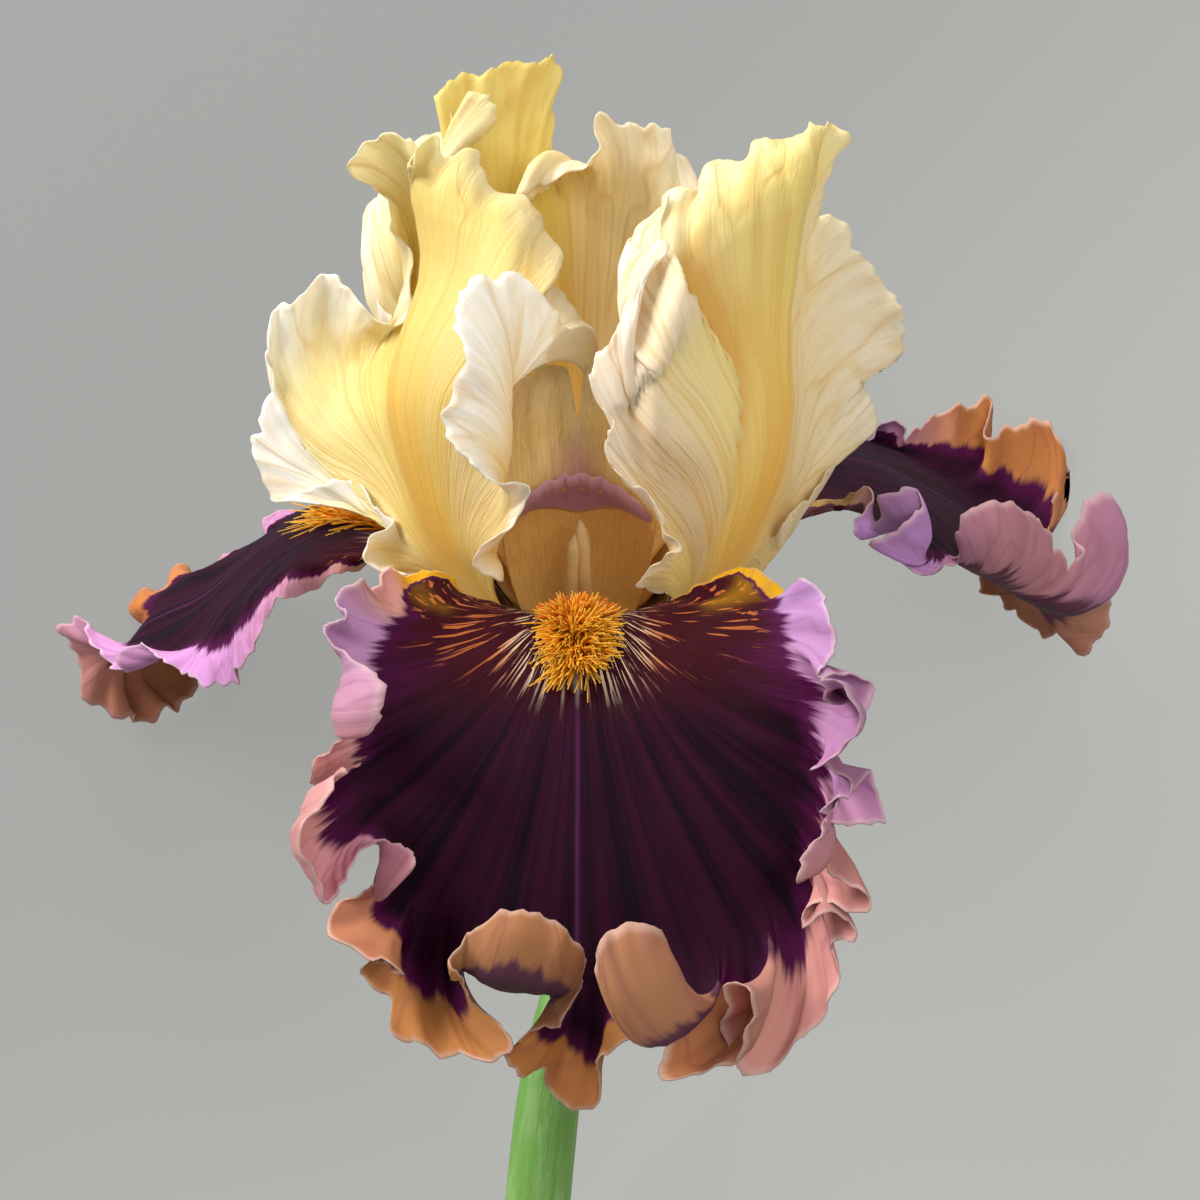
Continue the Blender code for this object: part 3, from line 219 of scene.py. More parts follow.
FALL_FRONT = Petal(
    azimuth=-90,
    midrib=((5.0, 0, 0.8), (9, 0, 6), (15, 0, 10), (22, 0, 11), (30, 0, 8), (36.5, 0, 0), (41, 0, -11),
            (43.5, 0, -24), (45, 0, -38), (46.5, 0, -52)),
    roll=((0, 0), (100, 0)), fan=36, haft=3.6,
    blade=((-150, 19), (-130, 18.5), (-108, 22), (-85, 26), (-65, 29), (-50, 32), (-35, 36), (-18, 36),
            (0, 38),
           (18, 39), (35, 39), (50, 35), (65, 31), (85, 28), (108, 23), (130, 19), (150, 19)),
    cup=((0, 5.0, 5.0), (14, 3.0, 3.0), (26, 1.4, 1.4), (40, 0.3, 0.3), (60, -0.4, -0.4),
            (100, -0.6, -0.6)), keel=((0, 0, 0), (90, 0, 0)),
    margin=((-150, 515, 612, -22, 0), (-138, 485, 598, -22, 0), (-128, 455, 584, -23, 0),
            (-121, 430, 576, -25, 0), (-115, 404, 576, -29, 0),
            (-111, 385, 572, -33, 0), (-108, 372, 590, -37, 0), (-104, 360, 577, -40, 0),
            (-101, 338, 598, -42, 0), (-98, 346, 616, -45, 0),
            (-95, 326, 624, -44, 0), (-92, 336, 646, -45, 0), (-89, 356, 662, -50, 0),
            (-86, 384, 680, -53, 0), (-83, 384, 700, -54, 0),
            (-80, 379, 717, -53, 0), (-77, 364, 735, -51, 0), (-75, 346, 738, -47, 0),
            (-73, 328, 750, -44, 0), (-71, 309, 768, -42, 0),
            (-70, 313, 786, -39, 0), (-69.2, 325, 795, -38, 0), (-68.2, 338, 778, -43, 0),
            (-67, 344, 768, -52, 0), (-65.8, 333, 785, -58, 0),
            (-64, 315, 805, -59, 0), (-61, 303, 845, -59, 0), (-58, 308, 872, -58, 0),
            (-56, 329, 900, -55, 0), (-54, 345, 872, -49, 0),
            (-51, 368, 850, -46, 0), (-48.5, 390, 841, -46, 0), (-46.5, 408, 848, -50, 0),
            (-44.8, 416, 862, -52, 0), (-43.3, 408, 874, -52, 0),
            (-42.2, 394, 880, -50, 0), (-41.2, 375, 885, -47, 0), (-40.1, 350, 895, -43, 0),
            (-39, 330, 915, -44, 0), (-38, 335, 938, -45, 0),
            (-37.1, 362, 950, -46, 0), (-36.3, 385, 962, -47, 0), (-35.7, 402, 976, -47, 0),
            (-35.1, 385, 965, -42, 0), (-34.5, 360, 965, -40, 0),
            (-33.9, 368, 985, -39, 0), (-33.3, 395, 1003, -40, 0), (-32.6, 390, 1030, -41, 0),
            (-31.8, 403, 1042, -41, 0), (-31, 420, 1042, -42, 1),
            (-30, 440, 1057, -42, 3), (-29, 456, 1052, -43, 5), (-28, 475, 1057, -46, 6),
            (-26, 495, 1058, -48, 3), (-24.5, 511, 1044, -49, 1),
            (-23.6, 490, 1012, -47, 0), (-22.5, 470, 992, -50, 0), (-21.2, 456, 970, -56, 0),
            (-20, 455, 955, -56, 0), (-19, 470, 931, -56, 0),
            (-17.5, 495, 917, -57, 0), (-15, 518, 908, -57, 0), (-12, 545, 915, -56, 0),
            (-9.5, 567, 933, -55, 0), (-7.5, 585, 962, -54, 0),
            (-6.5, 577, 990, -53, 0), (-5.5, 563, 1015, -52, 0), (-4.5, 553, 1026, -50, 0),
            (-3.2, 540, 1030, -47, 0), (-2.2, 515, 1045, -46, 0),
            (-1.2, 503, 1057, -46, 0), (-0.2, 520, 1078, -45, 0), (0.8, 545, 1072, -44, 0),
            (1.8, 547, 1088, -43, 0), (2.8, 568, 1108, -43, 0),
            (3.8, 594, 1111, -43, 0), (4.8, 600, 1088, -44, 0), (5.8, 594, 1065, -46, 0),
            (6.8, 600, 1056, -48, 0), (8.2, 632, 1036, -49, 0),
            (9.6, 650, 1008, -50, 0), (11, 650, 985, -53, 0), (12.4, 634, 970, -57, 0),
            (13.8, 612, 970, -61, 0), (15.2, 597, 978, -64, 0),
            (17, 595, 958, -64, 0), (20, 614, 926, -62, 0), (23, 650, 925, -59, 0),
            (26, 668, 945, -56, 0), (27.5, 664, 970, -53, 0),
            (29.3, 678, 1000, -49, 0), (31, 664, 1040, -48, 0), (32, 659, 1075, -48, 0),
            (33, 690, 1079, -50, 0), (34, 715, 1070, -51, 0),
            (35, 738, 1052, -53, 0), (36, 751, 1010, -54, 0), (37, 740, 985, -54, 0),
            (38, 725, 985, -51, 0), (39, 722, 1020, -47, 0),
            (40, 735, 1063, -45, 0), (42, 768, 1070, -44, 0), (44, 800, 1042, -44, 0),
            (47, 825, 1005, -44, 0), (49, 840, 978, -44, 0),
            (49.8, 832, 955, -43, 0), (50.6, 835, 942, -43, 0), (51.5, 858, 940, -45, 0),
            (52.3, 856, 922, -46, 0), (53, 830, 912, -46, 0),
            (54, 803, 928, -45, 0), (55, 806, 908, -44, 0), (56, 835, 906, -45, 0),
            (57, 860, 914, -48, 0), (58.5, 871, 901, -49, 0),
            (59.5, 862, 890, -49, 0), (61, 838, 882, -48, 0), (62.5, 815, 862, -48, 0),
            (63.5, 797, 885, -51, 0), (64.2, 796, 870, -52, 0),
            (65, 806, 852, -51, 0), (66, 821, 838, -49, 0), (67, 823, 822, -47, 0),
            (68, 850, 826, -44, 0), (69, 886, 822, -42, 0),
            (70, 878, 795, -41, 0), (71, 868, 773, -41, 0), (71.6, 850, 790, -43, 0),
            (72.4, 822, 812, -49, 0), (73.2, 842, 797, -48, 0),
            (74, 853, 786, -46, 0), (75, 850, 776, -45, 0), (76, 826, 764, -45, 0),
            (77.5, 812, 768, -48, 0), (79, 830, 760, -49, 0),
            (81, 850, 738, -52, 0), (83, 858, 712, -54, 0), (85, 845, 688, -54, 0),
            (87, 822, 680, -53, 0), (88, 838, 700, -48, 0),
            (89, 862, 708, -42, 0), (91, 873, 684, -41, 0), (93, 850, 673, -42, 0),
            (95, 822, 678, -44, 0), (98, 828, 665, -42, 0),
            (101, 836, 638, -40, 0), (104, 828, 605, -38, 0), (108, 808, 580, -35, 0),
            (112, 790, 588, -31, 0), (116, 765, 575, -28, 0),
            (121, 735, 566, -25, 0), (128, 700, 588, -24, 0), (138, 672, 598, -22, 0),
            (150, 640, 612, -22, 0)))

FALL_LEFT = Petal(
    azimuth=150,
    midrib=((5.0, 0, 0.8), (9, 0, 8), (16, 0, 16), (26, 0, 23), (38, 0, 26), (48, 0, 24), (56, 0, 19.5),
            (64, 0, 14), (73, 0, 10.5), (79, 0, 6), (81, 0, -1), (80, 0, -8)),
    roll=((0, 0), (30, -10), (60, -28), (80, -35), (100, -35)), fan=44, haft=3.6,
    blade=((-150, 22), (-130, 19.5), (-108, 20.5), (-85, 23), (-65, 25), (-50, 28), (-35, 31), (-18, 35),
            (0, 38),
           (18, 31), (35, 27), (50, 25), (65, 22), (85, 20), (108, 19), (130, 19), (150, 21)),
    cup=((0, 5.0, 5.0), (14, 2.5, 2.5), (26, 0.2, 0.2), (40, -0.6, -0.6), (60, -0.6, -0.6),
            (100, -0.6, -0.6)), keel=((0, 0, 0), (90, 0, 0)),
    margin=((-150, 460, 537, 19, 0), (-136, 482, 527, 25, 0), (-122, 487, 515, 31, 0),
            (-108, 470, 498, 37, 0), (-92, 440, 490, 42, 0),
            (-78, 395, 495, 46, 0), (-66, 350, 505, 48, 0), (-57, 318, 512, 50, 0),
            (-51.5, 298, 514, 52, 0), (-47.5, 282, 511, 54, 0),
            (-44, 268, 520, 53, 0), (-41, 262, 535, 51, 0), (-38, 256, 550, 49, 0),
            (-35, 242, 556, 51, 0), (-32.5, 224, 556, 55, 0),
            (-30.5, 214, 566, 56, 0), (-28.5, 216, 580, 54, 0), (-26.5, 228, 589, 51, 0),
            (-24.5, 216, 597, 49, 0), (-22.5, 202, 592, 52, 0),
            (-20.5, 194, 578, 55, 0), (-18.5, 182, 567, 57, 0), (-17, 170, 571, 57, 0),
            (-15.5, 160, 584, 56, 0), (-13.5, 145, 586, 57, 0),
            (-11.5, 134, 600, 57, 0), (-10, 134, 616, 56, 0), (-8.8, 150, 632, 53, 0),
            (-7.6, 180, 655, 50, 0), (-6.4, 199, 681, 48, 0),
            (-5.4, 188, 700, 47, 0), (-4.4, 175, 711, 47, 0), (-3.4, 164, 709, 46, 0),
            (-2.4, 155, 722, 46, 0), (-1.4, 142, 722, 46, 0),
            (-0.4, 135, 714, 45, 0), (0.6, 121, 719, 45, 0), (1.8, 102, 708, 45, 0), (3, 88, 702, 45, 0),
            (4.4, 79, 685, 44, 0),
            (6, 76, 658, 42, 0), (7.5, 67, 638, 39, 0), (9, 57, 630, 36, 0), (11, 70, 620, 35, 0),
            (13, 84, 622, 33, 0),
            (15, 89, 640, 31, 0), (17, 100, 653, 29, 0), (19, 112, 666, 27, 0), (21, 129, 673, 25, 0),
            (23, 120, 663, 24, 0),
            (25, 117, 652, 24, 0), (27, 125, 648, 23, 0), (29.5, 138, 642, 22, 0), (33, 150, 649, 19, 0),
            (38, 165, 663, 15, 0),
            (44, 188, 674, 11, 0), (51, 205, 684, 8, 0), (60, 235, 684, 5, 0), (68, 238, 670, 3, 0),
            (78, 250, 652, 1, 0),
            (88, 263, 634, 0, 0), (97, 268, 613, 0, 0), (105, 280, 599, 0, 0), (113, 300, 594, 1, 0),
            (120, 320, 588, 2, 0),
            (126, 334, 572, 1, 0), (130, 342, 572, 1, 0), (135, 354, 574, 2, 0), (142, 375, 562, 3, 0),
            (150, 393, 556, 3, 0)))

FALL_RIGHT = Petal(
    azimuth=30,
    midrib=((5.0, 0, 0.8), (9, 0, 9), (16, 0, 19), (25, 0, 27.5), (35, 0, 33), (46, 0, 34), (57, 0, 31),
            (66, 0, 26), (74, 0, 19), (79, 0, 11), (81, 0, 3)),
    roll=((0, 0), (30, 8), (60, 22), (80, 32), (100, 40)), fan=50, haft=3.6,
    blade=((-150, 25), (-130, 22), (-108, 22.5), (-85, 24), (-65, 27), (-50, 30), (-35, 33), (-18, 36),
            (0, 38),
           (18, 36), (35, 33), (50, 30), (65, 27), (85, 24), (108, 22), (130, 22), (150, 25)),
    cup=((0, 5.0, 5.0), (14, 3.0, 3.0), (26, 0.4, 0.4), (36, -0.6, 0.0), (46, -1.0, -0.8),
            (60, -0.7, -0.7), (100, 0, 0)), keel=((0, 0, 0), (90, 0, 0)),
    margin=((-150, 778, 518, 3, 0), (-140, 795, 511, 3, 0), (-134, 814, 505, 3, 0),
            (-128, 835, 499, 2, 0), (-122, 855, 494, 0, 0),
            (-118.5, 865, 488, -2, 0), (-116, 872, 496, -4, 0), (-113, 868, 510, -5, 0),
            (-110, 852, 523, -4, 0), (-107, 858, 538, -4, 0),
            (-104, 872, 533, -4, 0), (-101, 880, 520, -6, 0), (-98, 878, 500, -7, 0),
            (-95, 895, 490, -8, 0), (-92, 917, 489, -8, 0),
            (-90, 921, 505, -9, 0), (-88, 905, 525, -9, 0), (-86, 885, 537, -8, 0),
            (-84, 870, 541, -7, 0), (-81, 885, 550, -6, 0),
            (-78, 905, 567, -5, 0), (-75, 922, 578, -4, 0), (-72, 945, 570, -2, 0),
            (-70, 958, 561, 0, 0), (-68, 957, 545, -3, 0),
            (-66, 956, 527, -5, 0), (-64, 965, 512, -6, 0), (-61, 985, 503, -5, 0),
            (-57, 1005, 503, -2, 0), (-53, 1025, 508, 2, 0),
            (-49, 1040, 520, 6, 0), (-45, 1050, 535, 10, 0), (-41, 1060, 555, 14, 0),
            (-38, 1069, 566, 17, 0), (-36, 1080, 550, 19, 0),
            (-34, 1070, 535, 22, 0), (-32, 1078, 517, 24, 0), (-30, 1088, 500, 26, 0),
            (-28, 1103, 493, 28, 0), (-26, 1117, 504, 31, 0),
            (-24.5, 1121, 517, 33, 0), (-23, 1108, 532, 34, 0), (-21.5, 1104, 552, 34, 0),
            (-20, 1088, 575, 32, 0), (-18.5, 1086, 590, 31, 0),
            (-17, 1095, 601, 31, 0), (-15.5, 1110, 592, 34, 0), (-14, 1112, 605, 36, 0),
            (-12, 1106, 625, 38, 0), (-10, 1092, 643, 39, 0),
            (-8, 1077, 650, 40, 0), (-6.5, 1070, 635, 40, 0), (-5, 1062, 623, 40, 0),
            (-3.5, 1053, 634, 41, 0), (-2, 1044, 638, 42, 0),
            (-0.5, 1032, 625, 43, 0), (1, 1018, 611, 45, 0), (2.2, 1007, 609, 47, 0),
            (3.4, 1000, 598, 49, 0), (4.6, 990, 594, 51, 0),
            (5.6, 978, 590, 52, 0), (6.6, 985, 570, 53, 0), (7.6, 1015, 540, 54, 0),
            (9, 1038, 520, 55, 0), (10.8, 1050, 503, 57, 0),
            (12.6, 1060, 488, 58, 0), (14.2, 1068, 470, 60, 0), (15.6, 1064, 452, 60, 0),
            (17, 1055, 435, 60, 0), (19, 1048, 421, 60, 0),
            (21, 1035, 419, 60, 0), (23, 1018, 425, 59, 0), (25, 1004, 424, 59, 0),
            (26.5, 998, 435, 57, 0), (28, 988, 438, 56, 0),
            (29.5, 986, 420, 58, 0), (31, 991, 402, 60, 0), (33, 983, 396, 60, 0), (35, 970, 405, 59, 0),
            (37, 952, 406, 58, 0),
            (39.5, 935, 417, 56, 0), (42, 918, 430, 53, 0), (45, 905, 442, 50, 0), (47, 908, 430, 50, 0),
            (50, 897, 422, 50, 0),
            (54, 882, 428, 48, 0), (58, 868, 437, 46, 0), (62, 858, 425, 45, 0), (68, 840, 412, 44, 0),
            (76, 800, 412, 44, 0),
            (85, 752, 422, 43, 0), (100, 706, 437, 39, 0), (115, 678, 452, 34, 0),
            (132, 654, 478, 28, 0), (150, 645, 510, 20, 0)))

STANDARD_LEFT = Petal(
    azimuth=-150,
    midrib=((3.6, 0, 0.8), (9, 0, 7), (16, 0, 14.5), (22, 0, 22.2), (26.6, 0, 31.8), (29.4, 0, 41.4),
            (28, 0, 49.6), (25, 0, 56.5),
            (24, 0, 63), (26, 0, 69), (30, 0, 74)),
    roll=((0, 0), (100, 0)), fan=30, haft=1.6,
    blade=((-140, 11), (-120, 9.5), (-105, 9.5), (-90, 12), (-80, 15), (-60, 25), (-40, 30), (-20, 38),
            (0, 45),
           (20, 38), (40, 24), (60, 16), (80, 12), (100, 10.5), (120, 10.5), (140, 11)),
    cup=((0, 6.0, 6.0), (20, 1.6, 0), (34, 0.6, -3.0), (60, 0.6, -3.0), (90, 0.6, -1.5)),
            keel=((0, 0, 0), (14, 0, -4), (24, 8, -2), (34, 22, 30), (44, 22, 45), (90, 22, 45)),
    margin=((-140, 470, 590, -6, 0), (-132, 438, 588, -7, 0), (-126, 412, 577, -8, 0),
            (-121, 387, 571, -8, 0), (-117, 366, 558, -8, 0),
            (-113, 374, 538, -6, 0), (-110, 390, 522, -4, 0), (-107, 384, 508, -2, 0),
            (-104, 370, 495, 0, 0), (-100, 352, 483, 2, 0),
            (-96, 330, 481, 4, 0), (-92, 302, 491, 6, 0), (-89, 272, 501, 7, 0), (-86, 262, 475, 7, 0),
            (-82, 250, 446, 7, 0),
            (-78, 260, 430, 6, 0), (-75, 262, 410, 6, 0), (-71, 272, 385, 5, 0), (-67, 267, 355, 5, 0),
            (-63, 275, 330, 4, 0),
            (-59, 277, 309, 4, 0), (-55, 300, 297, 3, 0), (-51, 325, 274, 2, 0), (-47, 342, 285, 1, 0),
            (-43, 362, 305, 0, 0),
            (-39, 390, 322, 0, 0), (-36, 405, 318, 2, 0), (-32, 410, 290, 0, 0), (-28, 404, 245, -2, 0),
            (-25, 385, 200, -4, 0),
            (-22, 362, 177, -6, 0), (-19, 349, 165, -8, 0), (-16, 363, 145, -9, 0),
            (-13, 380, 138, -10, 0), (-10, 398, 133, -11, 0),
            (-7, 418, 150, -13, 0), (-4, 410, 165, -16, 0), (-2, 422, 145, -16, 0),
            (0, 433, 136, -15, 0), (3, 446, 157, -14, 0),
            (6, 470, 150, -12, 0), (9, 480, 168, -12, 0), (12, 500, 185, -12, 0), (15, 521, 199, -11, 0),
            (19, 540, 215, -11, 0),
            (23, 555, 235, -11, 0), (27, 562, 255, -12, 0), (31, 556, 272, -12, 0),
            (35, 548, 285, -8, 0), (39, 570, 330, -6, 0),
            (43, 589, 366, -6, 0), (46, 586, 395, -11, 0), (49, 573, 340, -18, 0),
            (52, 545, 303, -26, 0), (55, 521, 273, -30, 0),
            (58, 494, 276, -32, 0), (61, 471, 278, -33, 0), (64, 459, 297, -33, 0),
            (68, 456, 320, -34, 0), (73, 463, 348, -35, 0),
            (78, 458, 385, -35, 0), (82, 449, 404, -35, 0), (86, 442, 420, -34, 0),
            (90, 455, 444, -34, 0), (95, 472, 468, -33, 0),
            (100, 500, 482, -32, 0), (105, 527, 486, -30, 0), (110, 519, 516, -28, 0),
            (115, 500, 537, -26, 0), (119, 485, 548, -25, 0),
            (123, 473, 562, -23, 0), (127, 482, 573, -21, 0), (131, 500, 580, -19, 0),
            (140, 495, 600, -14, 0)))

STANDARD_RIGHT = Petal(
    azimuth=-30,
    midrib=((3.6, 0, 0.8), (11, 0, 6.5), (20, 0, 14), (26.4, 0, 22.2), (31, 0, 30.4), (33, 0, 40),
            (32.7, 0, 49.6), (33.5, 0, 57.8),
            (35, 0, 66), (38, 0, 73), (42, 0, 78.4)),
    roll=((0, 0), (100, 0)), fan=30, haft=1.6,
    blade=((-140, 12), (-120, 11), (-100, 12), (-80, 16), (-60, 22), (-40, 33), (-20, 42), (0, 47),
           (20, 40), (40, 27), (50, 19), (60, 14), (80, 10), (100, 8.5), (120, 8.5), (140, 9.5)),
    cup=((0, 6.0, 6.0), (20, 0, 1.6), (34, -3.0, 0.8), (60, -3.0, 0.7), (90, -1.5, 0.6)),
            keel=((0, 0, 0), (14, -4, 0), (24, -4, 8), (34, 26, 22), (44, 45, 22), (90, 45, 22)),
    margin=((-140, 668, 600, -13, 0), (-131, 648, 592, -17, 0), (-127, 636, 585, -19, 0),
            (-123, 643, 576, -20, 0), (-119, 656, 562, -22, 0),
            (-115, 668, 556, -24, 0), (-110, 680, 550, -25, 0), (-106, 668, 532, -26, 0),
            (-102, 664, 516, -27, 0), (-97, 648, 497, -28, 0),
            (-92, 625, 478, -29, 0), (-88, 607, 464, -29, 0), (-84, 606, 440, -30, 0),
            (-81, 610, 422, -32, 0), (-77, 598, 400, -33, 0), (-73, 589, 374, -33, 0),
            (-69, 600, 350, -33, 0), (-65, 615, 332, -33, 0), (-61, 624, 310, -33, 0),
            (-57, 641, 282, -33, 0), (-54, 655, 264, -32, 0),
            (-51, 668, 248, -30, 0), (-48.5, 660, 240, -29, 0), (-46, 648, 250, -28, 0),
            (-43, 636, 248, -27, 0), (-39, 634, 236, -25, 0),
            (-36, 650, 215, -24, 0), (-33, 667, 203, -23, 0), (-30, 664, 193, -24, 0),
            (-27, 680, 187, -22, 0), (-24, 700, 190, -20, 0),
            (-21, 702, 170, -18, 0), (-18, 720, 157, -17, 0), (-15, 740, 158, -16, 0),
            (-12, 752, 142, -16, 0), (-9, 763, 142, -15, 0),
            (-6, 785, 141, -14, 0), (-3, 800, 130, -13, 0), (0, 811, 119, -12, 0), (3, 825, 127, -11, 0),
            (6, 833, 122, -10, 0),
            (9, 849, 137, -8, 0), (12, 836, 155, -7, 0), (14.5, 822, 180, -5, 0), (17, 822, 200, 0, 0),
            (19.5, 812, 218, 2, 0),
            (22, 829, 215, 4, 0), (24.5, 850, 225, 5, 0), (27, 851, 247, 6, 0), (29.5, 866, 258, 7, 0),
            (32, 881, 280, 8, 0),
            (34.5, 893, 295, 8, 0), (37, 903, 312, 8, 0), (40, 906, 335, 8, 0), (43, 898, 358, 8, 0),
            (46, 880, 371, 7, 0),
            (49, 866, 378, 6, 0), (53, 870, 400, 6, 0), (57, 877, 425, 6, 0), (61.5, 864, 434, 5, 0),
            (66, 850, 421, 4, 0),
            (70, 832, 416, 4, 0), (75, 836, 432, 4, 0), (82, 835, 460, 1, 0), (90, 823, 482, -4, 0),
            (97, 810, 497, -6, 0),
            (104, 797, 511, -8, 0), (111, 782, 524, -9, 0), (119, 765, 545, -6, 0),
            (126, 746, 563, -8, 0), (132, 728, 577, -9, 0),
            (140, 700, 595, -9, 0)))

STANDARD_BACK = Petal(
    azimuth=90,
    midrib=((3.6, 0, 0.8), (9, 0, 8), (16, 0, 18), (23, 0, 30), (27, 0, 43), (26, 0, 56), (22, 0, 68),
            (19, 0, 78), (19, 0, 86)),
    roll=((0, 0), (100, 0)), fan=34, haft=1.6,
    blade=((-140, 11), (-120, 9.5), (-100, 10), (-80, 14), (-60, 24), (-40, 36), (-20, 42), (0, 44),
           (20, 42), (40, 36), (60, 24), (80, 14), (100, 10), (120, 9.5), (140, 11)),
    cup=((0, 6.0, 6.0), (16, 0.8, 0.8), (40, 0.6, 0.6), (60, 1.1, 1.1), (90, 0.6, 0.6)), keel=((0, 0, 0),
            (20, 4, 4), (40, 8, 8), (90, 12, 12)),
    margin=((-140, 640, 530, 19, 0), (-125, 646, 524, 19, 0), (-110, 660, 500, 19, 0),
            (-95, 684, 470, 18, 0), (-80, 715, 435, 17, 0),
            (-65, 745, 390, 17, 0), (-52, 750, 330, 18, 0), (-42, 725, 270, 20, 0),
            (-34, 712, 220, 22, 0), (-28, 698, 181, 22, 0),
            (-24, 685, 160, 20, 0), (-21, 670, 148, 18, 0), (-18, 673, 130, 17, 0),
            (-15, 655, 126, 15, 0), (-12, 637, 125, 14, 0),
            (-9, 616, 122, 13, 0), (-7, 598, 113, 12, 0), (-5, 596, 148, 12, 0), (-3, 573, 173, 10, 0),
            (-1, 540, 186, 7, 0),
            (1, 521, 199, 5, 0), (3, 545, 190, 13, 0), (5, 551, 140, 20, 0), (7, 555, 90, 20, 0),
            (9, 556, 58, 19, 0),
            (11, 543, 60, 17, 0), (13, 521, 63, 15, 0), (15, 500, 64, 14, 0), (17, 478, 74, 13, 0),
            (19, 460, 77, 12, 0),
            (21, 437, 90, 11, 0), (23, 448, 110, 12, 0), (25, 462, 126, 10, 0), (27, 474, 115, 7, 0),
            (29, 471, 92, 5, 0),
            (31, 486, 97, 4, 0), (33, 497, 112, 5, 0), (35, 487, 134, 8, 0), (37, 468, 135, 14, 0),
            (39, 445, 130, 20, 0),
            (42, 415, 145, 24, 0), (46, 390, 180, 24, 0), (50, 370, 205, 22, 0), (54, 364, 235, 20, 0),
            (58, 366, 260, 18, 0),
            (62, 378, 295, 16, 0), (66, 390, 322, 14, 0), (70, 408, 350, 14, 0), (80, 440, 430, 16, 0),
            (95, 474, 470, 18, 0),
            (110, 498, 500, 19, 0), (125, 512, 524, 19, 0), (140, 520, 530, 19, 0)))


def noise(points, seed, size):
    """Smooth noise in about -1..1: a sum of eight sine waves of about this size in seeded random directions."""
    source = np.random.default_rng(seed)
    way = unit(source.normal(size=(8, points.shape[-1]))) * source.uniform(0.7, 1.5, (8, 1)) * 2 * np.pi / size
    start = source.uniform(0, 2 * np.pi, 8)
    return np.sin(points @ way.T + start).sum(-1) / 4


def smooth(low, high, x):
    """0 below low, 1 above high, and the smooth cubic step between them."""
    share = np.clip((x - low) / (high - low), 0, 1)
    return share * share * (3 - 2 * share)


def straight(x, entries):
    """Straight lines between (x, red, green, blue) entries."""
    entries = np.array(entries)
    return np.stack([np.interp(x, entries[:, 0], entries[:, i]) for i in (1, 2, 3)], -1)


def placed(points):
    """From the flower's own upright frame, in millimetres, to the surface it lies on, in metres."""
    return (points @ LAY.T + SHIFT) * 0.001


def piece(name, points, faces, material, marks, nodes):
    """One mesh object: flower points and faces, a value of each mark at every point, and what it stands for."""
    corner = points[faces[:, :3]]
    if np.linalg.det(corner).sum() < 0:
        faces = faces[:, ::-1]
    mesh = bpy.data.meshes.new(name)
    spots = placed(points)
    spots[:, 2] = spots[:, 2].clip(0.0001)
    mesh.from_pydata(spots.tolist(), [], faces.tolist())
    mesh.shade_smooth()
    for mark, values in marks.items():
        kind = "FLOAT" if values.ndim == 1 else "FLOAT_VECTOR"
        layer = mesh.attributes.new(mark, kind, "POINT")
        layer.data.foreach_set("value" if values.ndim == 1 else "vector", values.astype(np.float32).ravel())
    mesh.materials.append(material)
    made = bpy.data.objects.new(name, mesh)
    bpy.context.scene.collection.objects.link(made)
    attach(made, "root")
    if nodes:
        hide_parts(*nodes)
    return made


def skin(rows, thick):
    """A closed skin round a sheet of points: both faces moved half the thickness along the normal, and a rim."""
    n, m = rows.shape[:2]
    normal = unit(np.cross(np.gradient(rows, axis=0), np.gradient(rows, axis=1)))
    index = np.arange(n * m).reshape(n, m)
    front = np.stack([index[:-1, :-1], index[1:, :-1], index[1:, 1:], index[:-1, 1:]], -1).reshape(-1, 4)
    loop = np.concatenate([index[:, 0], index[-1, 1:], index[-2::-1, -1], index[0, -2:0:-1]])
    after = np.roll(loop, -1)
    low = n * m
    rim = np.stack([loop, loop + low, after + low, after], -1)
    half = (np.broadcast_to(thick, (n, m))[..., None] / 2) * normal
    points = np.concatenate([(rows + half).reshape(-1, 3), (rows - half).reshape(-1, 3)])
    return points, np.concatenate([front, front[:, ::-1] + low, rim])


def both(values):
    """The same mark on both faces of a skin."""
    flat = values.reshape(-1) if values.ndim == 2 else values.reshape(-1, values.shape[-1])
    return np.concatenate([flat, flat])


def crimped(petal, rows, angle, band, seed, crimp):
    """The sheet with small folds that run out along the veins and deepen towards the margin, and a ragged edge."""
    edge = rows[:, -1]
    run = np.concatenate([[0], np.cumsum(np.linalg.norm(np.diff(edge, axis=0), axis=1))])
    normal = unit(np.cross(np.gradient(rows, axis=0), np.gradient(rows, axis=1)))
    outward = unit(rows[:, -1] - rows[:, -2])
    along = np.stack([run, 0 * run], -1)
    fold = noise(along, seed, 8.0) + 0.5 * noise(along, seed + 1, 4.6)
    share = np.concatenate([np.zeros(rows.shape[1] - len(band)), band])
    deep = crimp * share[None] ** 1.6
    near_end = np.minimum(angle - petal.blade[0][0], petal.blade[-1][0] - angle)
    ease = smooth(0, 15, near_end)
    rows = rows + (deep * (fold * ease)[:, None])[..., None] * normal
    swell = 0.25 * noise(rows, seed + 2, 16.0) + 0.13 * noise(rows, seed + 3, 7.0) + 0.08 * noise(rows, seed + 6, 3.4)
    rows = rows + (swell * smooth(0.1, 0.5, np.linspace(0, 1, rows.shape[1]))[None] * ease[:, None])[..., None] * normal
    ragged = 0.45 * noise(along, seed + 4, 3.4) + 0.25 * noise(along, seed + 5, 2.0)
    pull = smooth(0.75, 1, share)[None] * (ragged * ease)[:, None]
    return rows + pull[..., None] * outward[:, None]


